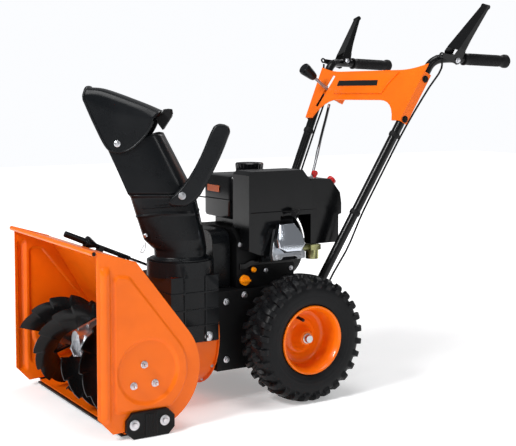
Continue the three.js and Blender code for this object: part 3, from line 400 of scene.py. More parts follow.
def satin_black(name, shade=0.005, roughness=0.34, scratches=0.5, specular=0.16):
    """Satin paint on steel, rubbed paler in fine scratches."""
    look = Look(name, Specular_IOR_Level=specular)
    lines = look.ramp(look.noise(60.0, 6.0, 0.7, (1, 1, 9)), 0.62, 0.72) * scratches
    worn = look.ramp(look.noise(14.0, 5.0, 0.6), 0.6, 0.8) * 0.35
    look.feed("Base Color", look.mix(lines * 0.25 + worn * 0.2, rgb(shade, shade * 1.03, shade * 1.12),
            rgb(0.035, 0.037, 0.042)))
    look.feed("Roughness", roughness + 0.2 * look.noise(35.0, 5.0) - 0.08 * lines)
    look.bump(look.noise(700.0, 2.0), 0.12, 0.0003)
    return look.material


def moulded(name, colour, roughness, grain=0.3, scale=1500.0, coat=0.0, specular=0.2):
    """Moulded plastic: a fine spark-eroded grain with slightly duller rubbed patches."""
    look = Look(name, Specular_IOR_Level=specular, Coat_Weight=coat, Coat_Roughness=0.15)
    patch = look.ramp(look.noise(9.0, 4.0, 0.6), 0.3, 0.75)
    pale = [min(1.0, c * 1.5 + 0.003) for c in colour]
    look.feed("Base Color", look.mix(patch * 0.4, rgb(*colour), rgb(*pale)))
    look.feed("Roughness", roughness + 0.12 * patch)
    look.bump(look.noise(scale, 2.0) + 0.4 * look.noise(scale * 0.35, 3.0), grain, 0.0003)
    return look.material


def tread_rubber(name):
    """Tyre rubber: matt, a little dusty, with fine mould texture on the walls."""
    look = Look(name, Specular_IOR_Level=0.16)
    dust = look.ramp(look.noise(18.0, 5.0, 0.65), 0.45, 0.8)
    look.feed("Base Color", look.mix(dust * 0.5, rgb(0.0045, 0.0048, 0.0056), rgb(0.016, 0.016, 0.017)))
    look.feed("Roughness", 0.38 + 0.25 * dust)
    look.bump(look.noise(1100.0, 3.0) + 0.6 * look.noise(240.0, 4.0), 0.35, 0.0005)
    return look.material


def zinc(name, colour=(0.66, 0.67, 0.7), roughness=0.24):
    """Zinc plate: cloudy bright steel with fine turning marks."""
    look = Look(name, Metallic=1.0)
    cloud = look.ramp(look.noise(45.0, 4.0), 0.3, 0.75)
    look.feed("Base Color", look.mix(cloud * 0.6, rgb(*colour), rgb(*[c * 0.6 for c in colour])))
    look.feed("Roughness", roughness + 0.18 * look.noise(180.0, 4.0))
    look.bump(look.noise(900.0, 3.0), 0.12, 0.0003)
    return look.material


def cast_metal(name, colour=(0.55, 0.57, 0.6), roughness=0.3, soot=0.5):
    """Die-cast alloy: pebbled skin, darker in its hollows."""
    look = Look(name, Metallic=1.0)
    dark = look.ramp(look.noise(22.0, 5.0), 0.5, 0.8)
    look.feed("Base Color", look.mix(dark * soot, rgb(*colour), rgb(*[c * 0.3 for c in colour])))
    look.feed("Roughness", roughness + 0.2 * dark)
    look.bump(look.noise(420.0, 5.0, 0.65), 0.35, 0.0006)
    return look.material


LOOKS = {}


def make_looks(settings):
    LOOKS.update(
        orange=powder_coat("orange_powder_coat", settings.paint, (0.6, 0.085, 0.002), 0.26, 0.12),
        deep_orange=powder_coat("wheel_orange", (0.9, 0.17, 0.003), (0.62, 0.08, 0.001), 0.24, 0.3),
        black=satin_black("black_satin_paint"),
        gloss_black=satin_black("black_gloss_paint", 0.004, 0.13, 0.35, 0.24),
        plastic=moulded("chute_plastic", (0.0036, 0.0044, 0.0054), 0.24, 0.2),
        cover=moulded("cover_plastic", (0.003, 0.0033, 0.0038), 0.14, 0.1, 900.0, 0.05),
        rubber=moulded("soft_rubber", (0.0055, 0.0055, 0.006), 0.5, 0.5, 1000.0, 0.0, 0.15),
        tyre=tread_rubber("tyre_rubber"),
        zinc=zinc("zinc_plate"),
        steel=zinc("turned_steel", (0.42, 0.43, 0.45), 0.3),
        cast=cast_metal("cast_alloy"),
        black_iron=cast_metal("black_cast_iron", (0.02, 0.021, 0.023), 0.4),
        polished=cast_metal("polished_alloy", (0.62, 0.66, 0.72), 0.12, 0.15),
        brass=cast_metal("bowl_alloy", (0.42, 0.42, 0.2), 0.3),
        red=moulded("red_plastic", (0.45, 0.01, 0.01), 0.22, 0.15, 700.0, 0.3),
        amber=moulded("amber_plastic", (0.95, 0.27, 0.002), 0.25, 0.15, 700.0, 0.2),
        label=moulded("plain_badge", (0.008, 0.0085, 0.009), 0.3, 0.1, 700.0),
        hot=zinc("heat_stained_steel", (0.2, 0.17, 0.14), 0.42),
    )


# ---- Housing ------------------------------------------------------------------------------------

PLATE_ARC, PLATE_RADIUS = np.array([123.0, 151.0]), 141.0
PLATE_CORNER = np.array([98.0, 414.0])


def plate_outline(inset=0.0):
    """Front edge, chamfered toe, the rear arc and the sloping top, moved inwards by the inset."""
    corner = PLATE_CORNER - (0.4 * inset, 0.9 * inset)
    radius = PLATE_RADIUS - inset
    rear = arc(PLATE_ARC, radius, -62 if not inset else -58, touch_angle(corner, PLATE_ARC, radius), 40)
    if inset:
        front = arc((54, 76), 11, 250, 180, 5), arc((54, 371), 11, 180, 90, 5)
        return np.concatenate([front[1][::1], arc(corner - (12, 14), 13, 90, 30, 5), rear[::-1], front[0]])
    return np.concatenate([[(0, 444.0), (0, 57), (37, 17)], rear, [corner]])


def side_plate(side):
    """Pressed plate: the sheet stands out by a raised pad, a vertical bead and a round dish.

    Rays from a middle point to the outline carry the grid; height is a sum of smooth ramps of the
    distance to each pressed outline.
    """
    outline = resampled(plate_outline(), 3.0)
    t = np.linspace(0, 1, 100)[:, None, None]
    middle = np.array([112.0, 190.0])
    spots = middle + t * (outline - middle)
    flat = spots.reshape(-1, 2)
    y, z = flat.T
    pad = inside_distance(flat, plate_outline(37.0))
    dish = 74 - np.hypot(y - 126, z - 154)
    height = 4.4 * step(pad, -4.5, 2.5) - 6.0 * step(dish, -7, 3)
    ends = step(z, 40, 60) * step(-z, -410, -388)
    bead = np.clip(1 - ((y - 20) / 13) ** 2, 0, None)
    height += 8.5 * bead**0.8 * ends
    height -= 1.5 * step(5 - y, 0, 5)
    x = side * (PLATE_X + height)
    points = np.stack([x, y, z], -1).reshape(*spots.shape[:2], 3)
    return surface(points, wrap_columns=True)


def skid_ribs(side):
    """Upright ribs in the middle of the skid's outer face."""
    bars = []
    for y in np.linspace(114, 141, 5):
        bars.append(swept(np.array([(side * (PLATE_X + 14), y, z) for z in (12, 30, 56)], float), 2.2, 8))
    return together(*bars)


class BLOWER_OT_housing(bpy.types.Operator):
    """Make the auger housing, its side plates, skids, bearings and fasteners"""

    bl_idname = "blower.housing"
    bl_label = "Auger housing"

    def execute(self, context):
        softened("auger_housing", LOOKS["orange"], 0.7, 2)
        softened("scraper_bar", LOOKS["black"], 0.8)
        for side, hand in ((1, "left"), (-1, "right")):
            plate = piece(f"{hand}_plate_pressing", side_plate(side), LOOKS["orange"], "machine",
                          replaces=[f"{hand}_side_plate"], wall=2.6, smooth=60)
            plate.modifiers["wall"].offset = -1 if plate_faces_out(plate, side) else 1
            softened(f"{hand}_skid_shoe", LOOKS["black"], 3.0, 3, 30)
            softened(f"{hand}_auger_bearing", LOOKS["zinc"], 0.8)
            skid = [bolt((side * (PLATE_X + 12.5), y, 35), (side, 0, 0), 7, 12.5) for y in (85, 163)]
            piece(f"{hand}_skid_ribs", skid_ribs(side), LOOKS["black"], "machine", "black_paint")
            piece(f"{hand}_skid_bolts", together(*skid), LOOKS["zinc"], "machine", "bare_steel", bevel=0.4)
            lip = turned([(4.2, -2), (5.2, -2), (5.2, 1.2), (4.2, 1.2)], "X",
                    (side * (PLATE_X - 2), -6.5, 440), 24, True)
            dark = turned([(0, 0), (4.6, 0), (4.6, 1.6), (0, 1.6)], "X",
                    (side * (PLATE_X - 0.5), -6.5, 440), 24)
            piece(f"{hand}_lip_end", together(lip, dark), LOOKS["black"], "machine", "black_paint")
            ends = [bolt((side * (PLATE_X - 1), AUGER[1] + 31.5 * math.cos(a),
                    AUGER[2] + 31.5 * math.sin(a)),
                         (side, 0, 0), 6.5, 9, 15) for a in np.radians((90, 210, 330))]
            piece(f"{hand}_bearing_bolts", together(*ends), LOOKS["zinc"], "machine", "bare_steel",
                    bevel=0.4)
        return {"FINISHED"}


def plate_faces_out(obj, side):
    """True if the sheet's faces look away from the machine's middle."""
    normals = np.zeros(len(obj.data.polygons) * 3, np.float32)
    obj.data.polygons.foreach_get("normal", normals)
    return side * normals.reshape(-1, 3)[:, 0].sum() > 0


FLIGHT_TEETH = 11
FLIGHT_START = 164  # degrees
FLIGHT_LEAD = {1: 120, -1: 0}  # how far each auger has turned at rest, by side


# ---- Augers and drum ----------------------------------------------------------------------------

def flight(side, phase):
    """A helical ribbon: radius runs from the core to a saw-toothed rim while the angle winds 290 degrees.

    The rim falls away in a curve within each tooth and springs back at its end.
    """
    turns = np.linspace(0, 1, 361)
    tooth = (turns * FLIGHT_TEETH) % 1.0
    rim = 119 - 9 * tooth**1.6 * step(1 - tooth, 0.0, 0.06)
    rim[-1] = 110
    angle = np.radians(FLIGHT_START + FLIGHT_LEAD[side] + phase - 290 * turns)
    share = np.linspace(0, 1, 9)[:, None]
    radius = 54 + (rim - 54) * share
    x = 256 - 214 * turns - 6 * np.sin(share * math.pi)
    points = np.stack([side * (x + 0 * radius), AUGER[1] + radius * np.cos(angle),
            AUGER[2] + radius * np.sin(angle)], -1)
    return surface(points)


def auger_core(side):
    """The hub tube with its three pairs of flat spokes."""
    tube = turned([(13.3, 38), (22, 38), (22, 262), (13.3, 262)], "X", (0, AUGER[1], AUGER[2]), 40, True)
    shapes = [tube]
    for phase in (0, 180):
        for along in (0.08, 0.5, 0.92):
            angle = math.radians(FLIGHT_START + FLIGHT_LEAD[side] + phase - 290 * along)
            bar = np.array([(x, y, z) for y in (18, 62) for x, z in ((-9, -3), (9, -3), (9, 3), (-9, 3))],
                    float)
            bar = moved(bar, rotation(angle, "X"), (256 - 214 * along, AUGER[1], AUGER[2]))
            shapes.append(surface(bar.reshape(2, 4, 3), wrap_columns=True, caps=True))
    points, faces = together(*shapes)
    return points * (side, 1, 1), faces


class BLOWER_OT_augers(bpy.types.Operator):
    """Make the two augers, their gearbox, the impeller and its drum"""

    bl_idname = "blower.augers"
    bl_label = "Augers and impeller"

    def execute(self, context):
        for side, hand in ((1, "left"), (-1, "right")):
            for number, phase in enumerate((0, 180), 1):
                ribbon = piece(f"{hand}_flight_{number}", flight(side, phase), LOOKS["gloss_black"],
                        "augers",
                               "black_paint", wall=4.0, bevel=0.5, smooth=50)
                ribbon.modifiers["wall"].offset = 0
            piece(f"{hand}_auger_core", auger_core(side), LOOKS["gloss_black"], "augers",
                  replaces=[f"{hand}_auger"], bevel=0.6)
            shear = bolt((side * 60, AUGER[1], AUGER[2] + 21), (0, 0, 1), 6, 8, 10)
            piece(f"{hand}_shear_bolt", shear, LOOKS["zinc"], "augers", "bare_steel", bevel=0.3)
        softened("auger_shaft", LOOKS["steel"], 0.6)
        softened("auger_gearbox", LOOKS["cast"], 2.4, 3)
        around = np.radians(np.arange(8) * 45 + 22.5)
        studs = [bolt((5, AUGER[1] + 58 * math.cos(a), 160 + 58 * math.sin(a)), (1, 0, 0), 5,
                6.5) for a in around]
        piece("gearbox_bolts", together(*studs), LOOKS["zinc"], "machine", "bare_steel", bevel=0.3)
        softened("impeller", LOOKS["gloss_black"], 0.8)
        softened("impeller_shaft", LOOKS["steel"], 0.5)
        softened("impeller_pulley", LOOKS["steel"], 0.6)
        softened("impeller_drum", LOOKS["orange"], 0.8)
        rim = [bolt((140 * math.cos(a), 391.5, IMPELLER[2] + 140 * math.sin(a)), (0, -1, 0), 5, 7)
               for a in np.radians((-35, -65, -115, -145, 200, 160))]
        piece("drum_bolts", together(*rim), LOOKS["zinc"], "machine", "bare_steel", bevel=0.3)
        return {"FINISHED"}


# ---- Chute --------------------------------------------------------------------------------------

def funnel_grid():
    """Rings whose outline goes from a circle at the collar to a rounded square at the ledge.

    Each ring is |x/a|^n + |y/b|^n = 1 with n, a, b and its middle blended smoothly by height.
    """
    keys = np.array([  # height, half width, half depth, middle, power
        [348, 73.4, 73.4, 0, 2.0], [380, 73.4, 73.4, 0, 2.0], [385, 67, 67, 0, 2.0], [403, 66, 68, 0, 2.2],
        [430, 68, 77.5, -14.5, 3.8], [500, 67, 80, -33, 5], [548, 65.5, 81.5, -45, 6.0]])
    heights = np.linspace(348, 548, 90)
    half, deep, middle, power = [np.interp(heights, keys[:, 0], keys[:, k])[:, None] for k in (1, 2, 3, 4)]
    angle = np.linspace(0, 2 * math.pi, 112, endpoint=False)[None]
    c, s = np.cos(angle), np.sin(angle)
    size = (np.abs(c) ** power + np.abs(s) ** power) ** (-1 / power)
    front = step(-s, 0.0, 1.0)
    ledge = 2.6 * np.exp(-((heights[:, None] - 545) / 3.0) ** 2)
    bead = 2.0 * np.exp(-((heights[:, None] - 500 + 11 * front) / 2.4) ** 2)
    grow = (ledge + bead) / 75
    x = half * c * size * (1 + grow)
    y = middle + deep * s * size * (1 + grow)
    return np.stack([x, y, np.broadcast_to(heights[:, None], x.shape)], -1)


def rounded_line(points, rounds=3):
    """Corner cutting: every edge is replaced by its quarter and three-quarter points."""
    for _ in range(rounds):
        a, b = points[:-1], points[1:]
        cut = np.stack([0.8 * a + 0.2 * b, 0.2 * a + 0.8 * b], 1).reshape(-1, *points.shape[1:])
        points = np.concatenate([points[:1], cut, points[-1:]])
    return points


def channel_grid():
    """U-shaped sections from ledge to rim: two walls, two slanted corners and a back."""
    t = np.linspace(0, 1, 26)
    keys = [0, 0.42, 1]
    half = np.interp(t, keys, [64.5, 62, 60])
    front = np.stack([np.interp(t, keys, [-126, -152, -176]), np.interp(t, keys, [548, 607, 660])], 1)
    crease = np.stack([np.interp(t, keys, [13, -19, -66]), np.interp(t, keys, [548, 608, 704])], 1)
    back = np.stack([np.interp(t, keys, [36, 5, -43]), np.interp(t, keys, [548, 608, 702])], 1)
    corners = [np.column_stack([-half, front]), np.column_stack([-half, crease]),
            np.column_stack([24 - half, back]),
               np.column_stack([half - 24, back]), np.column_stack([half, crease]), np.column_stack([half,
                       front])]
    return rounded_line(np.stack(corners), 3).transpose(1, 0, 2)


HOOD_LOWER = [[62, 734], [80, 700], [118, 664], [152, 656], [178, 668], [208, 726], [235, 788]]
HOOD_CREASE = [[60, 742], [118, 766], [200, 791], [236, 799]]
HOOD_ROOF = [[44, 759], [96, 781], [187, 814], [233, 820]]


def hood_rows(count=40):
    return [smooth_path(np.array(row, float), count) for row in (HOOD_LOWER, HOOD_CREASE, HOOD_ROOF)]


def hood_grid():
    """Sections across the hood at equal shares of its lower edge, its crease and its roof line."""
    lower, crease, roof = hood_rows()
    half, slant = np.full(len(lower), 66.0), 21.0
    line = [(-half, lower), (-half, 0.5 * lower + 0.5 * crease), (-half, crease), (slant - half, roof),
            (half - slant, roof), (half, crease), (half, 0.5 * lower + 0.5 * crease), (half, lower)]
    corners = np.stack([np.column_stack([x, -row[:, 0], row[:, 1]]) for x, row in line])
    grid = rounded_line(corners, 3).transpose(1, 0, 2)
    return grid


def hood_rim():
    """A round bead along the hood's lower edges and over its mouth."""
    grid = hood_grid()
    side = grid[:, 0]
    mouth = grid[-1]
    path = np.concatenate([side[:-1], mouth, grid[::-1, -1][1:]])
    return swept(path, 3.4, 10)


def chute_ribs():
    """Two slanted stiffening lines low on each flank of the chute's back."""
    shapes = []
    for side in (-1, 1):
        for low, high in (((-60, 520), (26, 528)), ((-90, 512), (20, 520))):
            y = np.linspace(low[0], high[0], 14)
            path = np.column_stack([np.full(14, side * 66.3), y, np.linspace(low[1], high[1], 14)])
            shapes.append(swept(path, 1.4, 8))
    return together(*shapes)


class BLOWER_OT_chute(bpy.types.Operator):
    """Make the chute base, the turning chute, its handle and its tilting hood"""

    bl_idname = "blower.chute"
    bl_label = "Discharge chute"

    def execute(self, context):
        softened("chute_base", LOOKS["plastic"], 1.6, 2)
        feet = [bolt((CHUTE[0] + 82, 363, 183), (1, 0, 0), 7, 12.5),
                bolt((CHUTE[0] + 82, 280, 216), (1, 0, 0), 6, 9)]
        piece("chute_base_bolts", together(*feet), LOOKS["zinc"], "machine", "bare_steel", bevel=0.4)
        funnel = piece("chute_funnel", on_chute(surface(funnel_grid(), wrap_columns=True)),
                LOOKS["plastic"], "chute", replaces=["chute"],
                       wall=3.2, smooth=60)
        channel = piece("chute_channel", on_chute(surface(channel_grid())), LOOKS["plastic"], "chute",
                "black_plastic",
                        wall=3.2, smooth=60)
        points, faces = turned([(74, 376.4), (80, 376.4), (81, 377.2), (81, 379.2), (80, 380), (73, 380)],
                "Z", (0, 0, 0), 96, True)
        piece("chute_shoulder", (in_chute(points), faces), LOOKS["plastic"], "chute", "black_plastic")
        piece("chute_flank_ribs", on_chute(chute_ribs()), LOOKS["plastic"], "chute", "black_plastic")
        softened("chute_handle", LOOKS["plastic"], 8.0, 5, 40)
        foot = bolt((98.5, 14, 548), (1, 0, 0), 6, 9.5)
        piece("chute_handle_bolt", on_chute(foot), LOOKS["steel"], "chute", "bare_steel", bevel=0.4)
        hood = piece("hood_shell", on_chute(surface(hood_grid())), LOOKS["plastic"], "deflector",
                replaces=["deflector"],
                     wall=2.8, smooth=60)
        piece("hood_bead", on_chute(hood_rim()), LOOKS["plastic"], "deflector", "black_plastic", smooth=60)
        softened("deflector_knob", LOOKS["rubber"], 2.0, 3)
        tab = []
        for x in np.linspace(-13, 13, 6):
            ridge = np.array([(x, -50, 748), (x, -42, 753), (x, -39.5, 762), (x, -30, 763),
                    (x, -20.5, 762), (x, -19, 750)])
            tab.append(swept(ridge, 1.5, 8))
        piece("deflector_knob_ridges", on_chute(together(*tab)), LOOKS["rubber"], "deflector",
                "grip_rubber")
        for shell in (funnel, channel, hood):
            face_outwards(shell)
        pivots = [bolt((side * 66, -152, 677), (side, 0, 0), 5.5, 8.5) for side in (-1, 1)]
        piece("hood_pivot_bolts", on_chute(together(*pivots)), LOOKS["zinc"], "deflector", "bare_steel",
                bevel=0.3)
        rivets = [turned([(0, 0), (6.2, 0), (5.6, 2), (3.5, 3.8), (0, 4.4)], "X", (0, -82, 445), 24)]
        points, faces = together(*rivets)
        both = together((points + (69.5, 0, 0), faces), (points * (-1, 1, 1) - (69.5, 0, 0), faces))
        piece("chute_rivets", on_chute(both), LOOKS["zinc"], "chute", "bare_steel")
        clip = smooth_path([(58, -84, 426), (60, -84, 412), (62, -88, 402), (64, -94, 400),
                (65, -93, 408), (62, -86, 420)], 40)
        piece("chute_wire_clip", on_chute(swept(clip, 1.1, 8)), LOOKS["steel"], "chute", "bare_steel")
        return {"FINISHED"}


def face_outwards(obj):
    """The wall grows away from the side the faces look to, which is the shell's outside."""
    mesh = obj.data
    centre = np.zeros(len(mesh.polygons) * 3, np.float32)
    normal = np.zeros(len(mesh.polygons) * 3, np.float32)
    mesh.polygons.foreach_get("center", centre)
    mesh.polygons.foreach_get("normal", normal)
    centre, normal = centre.reshape(-1, 3), normal.reshape(-1, 3)
    outward = (normal * (centre - centre.mean(0))).sum() > 0
    obj.modifiers["wall"].offset = -1 if outward else 1


class BLOWER_OT_cleanout(bpy.types.Operator):
    """Make the clean-out tool and its bracket"""

    bl_idname = "blower.cleanout"
    bl_label = "Clean-out tool"

    def execute(self, context):
        softened("cleanout_tool", LOOKS["plastic"], 1.2, 2)
        softened("tool_bracket", LOOKS["plastic"], 1.2, 2)
        return {"FINISHED"}


# ---- Frame and wheels ---------------------------------------------------------------------------

class BLOWER_OT_frame(bpy.types.Operator):
    """Make the frame box, belt cover and traction drive"""

    bl_idname = "blower.frame"
    bl_label = "Frame and drive"

    def execute(self, context):
        softened("frame_box", LOOKS["black"], 1.5)
        softened("belt_cover", LOOKS["plastic"], 3.0, 3)
        for node in ("auger_belt", "traction_belt"):
            softened(node, LOOKS["rubber"], 0.8)
        softened("friction_disc", LOOKS["cast"], 0.8)
        softened("friction_wheel", LOOKS["steel"], 0.8)
        low, high = box_mm("frame_box")
        rear = [bolt((x, high[1] + 0.2, z), (0, 1, 0), 6, 9) for x in (-110, 0, 110) for z in (100, 272)]
        side = [bolt((s * (high[0] + 0.2), y, z), (s, 0, 0), 6, 9) for s in (-1, 1) for y,
                z in ((425, 262), (425, 110), (480, 275), (680, 110))]
        piece("frame_bolts", together(*rear, *side), LOOKS["zinc"], "machine", "bare_steel", bevel=0.4)
        return {"FINISHED"}


TYRE_LUGS = 28


def tyre_grid(side):
    """Tyre skin: a rounded section turned about the axle, with lugs as a height along its normal.

    Across the tread the share a runs from -1 to 1; shoulder blocks fill 0.62 < |a| < 1.16, slanted
    bars join them to crossing bars in the middle, each for a third to a half of its pitch.
    """
    section = smooth_path(np.array([
        (90.5, 173), (96, 169.5), (112, 166.5), (128, 166.2), (142, 169), (150, 176), (153.5,
                190), (154.5, 217),
        (153.5, 244), (150, 258), (142, 265.5), (128, 269), (112, 268.5), (96, 265.5), (90.5,
                262)], float), 84)
    length = np.concatenate([[0], np.cumsum(np.linalg.norm(np.diff(section, axis=0), axis=1))])
    across = ((length / length[-1]) * 2 - 1) / 0.46
    tangent = np.gradient(section, axis=0)
    tangent /= np.linalg.norm(tangent, axis=1, keepdims=True)
    normal = np.column_stack([tangent[:, 1], -tangent[:, 0]])
    angle = np.linspace(0, 2 * math.pi, 784, endpoint=False)[None]
    a = across[:, None]
    turn = angle * TYRE_LUGS / (2 * math.pi)

    def band(value, low, high, soft):
        return step(value, low - soft, low + soft) * (1 - step(value, high - soft, high + soft))

    def pulse(phase, width, soft=0.05):
        phase = phase % 1.0
        return step(phase, 0, soft) * (1 - step(phase, width - soft, width))

    shift = np.where(a > 0, 0.0, 0.5)
    shoulder = pulse(turn + shift - 0.16 * np.abs(a), 0.5) * band(np.abs(a), 0.62, 1.16, 0.03)
    inner = pulse(turn + shift + 0.38 - 0.8 * np.abs(a), 0.42) * band(np.abs(a), 0.22, 0.74, 0.03)
    middle = pulse(turn + 0.2 + 0.9 * a, 0.3) * band(np.abs(a), -1, 0.3, 0.03)
    lug = np.maximum(np.maximum(shoulder, inner), middle)
    ridge = 1.2 * np.exp(-((np.abs(a) - 1.85) / 0.03) ** 2) + 0.8 * np.exp(-((np.abs(a) - 1.7) / 0.02) ** 2)
    depth = 10.5 * (1 - 0.6 * step(np.abs(a), 0.9, 1.2))
    height = lug * depth + ridge
    radius = section[:, :1] + normal[:, :1] * height
    x = section[:, 1:] + normal[:, 1:] * height
    points = np.stack([side * x, AXLE[1] + radius * np.cos(angle), AXLE[2] + radius * np.sin(angle)], -1)
    return surface(points, wrap_rows=True, wrap_columns=True)


def rim_shape(side):
    """Deep-dished wheel: rolled lips, a stepped barrel, a raised ring and a cone up to the hub."""
    outer = smooth_path(np.array([(90, 262.5), (89.5, 267), (87, 269), (84, 267), (80, 260), (77, 252),
            (75.5, 236), (74, 214)], float), 40)
    dish = smooth_path(np.array([(74, 214), (72, 207), (66, 203.5), (58, 203.5), (50, 205), (44, 208),
            (36, 210), (30, 215), (24, 226), (20, 236), (17, 240), (10.2, 240)], float), 50)
    back = np.array([(10.2, 228), (16, 226), (26, 206), (40, 198), (62, 194), (73, 196), (74, 186),
            (80, 180), (84, 171), (87, 168.5), (89.5, 170), (90, 175), (84, 180), (79, 190), (79,
                    250), (84, 258), (88, 262)], float)
    points, faces = turned(np.concatenate([outer, dish[1:], back]), "X", (0, AXLE[1], AXLE[2]), 96, True)
    return points * (side, 1, 1), faces


class BLOWER_OT_wheels(bpy.types.Operator):
    """Make the treaded tyres, dished rims, valves and axle"""

    bl_idname = "blower.wheels"
    bl_label = "Wheels"

    def execute(self, context):
        for side, hand in ((1, "left"), (-1, "right")):
            piece(f"{hand}_tyre_tread", tyre_grid(side), LOOKS["tyre"], "wheels",
                    replaces=[f"{hand}_tyre"], smooth=50)
            piece(f"{hand}_wheel_rim", rim_shape(side), LOOKS["deep_orange"], "wheels",
                    replaces=[f"{hand}_rim"], smooth=50)
            stem = np.array([(233, 63.0), (243, 62.0), (252, 60.5), (259, 59)])
            path = np.column_stack([side * stem[:, 0], AXLE[1] + stem[:, 1] * math.cos(2.0),
                    AXLE[2] + stem[:, 1] * math.sin(2.0)])
            piece(f"{hand}_valve", swept(path, np.array([4.2, 3.8, 4.4, 4.2]), 16), LOOKS["rubber"],
                    "wheels", "grip_rubber")
            cap = turned([(0, 0), (13, 0), (13, 2), (11, 2.6), (11, 9), (9.5, 12), (0, 12.5)], "X",
                    (240.2, AXLE[1], AXLE[2]), 32)
            points = cap[0] * (side, 1, 1)
            piece(f"{hand}_hub_cap", (points, cap[1]), LOOKS["zinc"], "wheels", "bare_steel")
        softened("axle", LOOKS["steel"], 0.8)
        return {"FINISHED"}


BANK_TILT = math.radians(12)
HEAD_EDGE = np.array([(535.5, -55.5), (558, -55.5), (566, -48.5), (604, -48.5), (612, -55.5),
        (634.5, -55.5), (636.5, -40),
                      (618.5, -12), (594.5, 27.5), (552.5, 27.5), (540.5, -12), (532.5, -40)])


# ---- Engine -------------------------------------------------------------------------------------

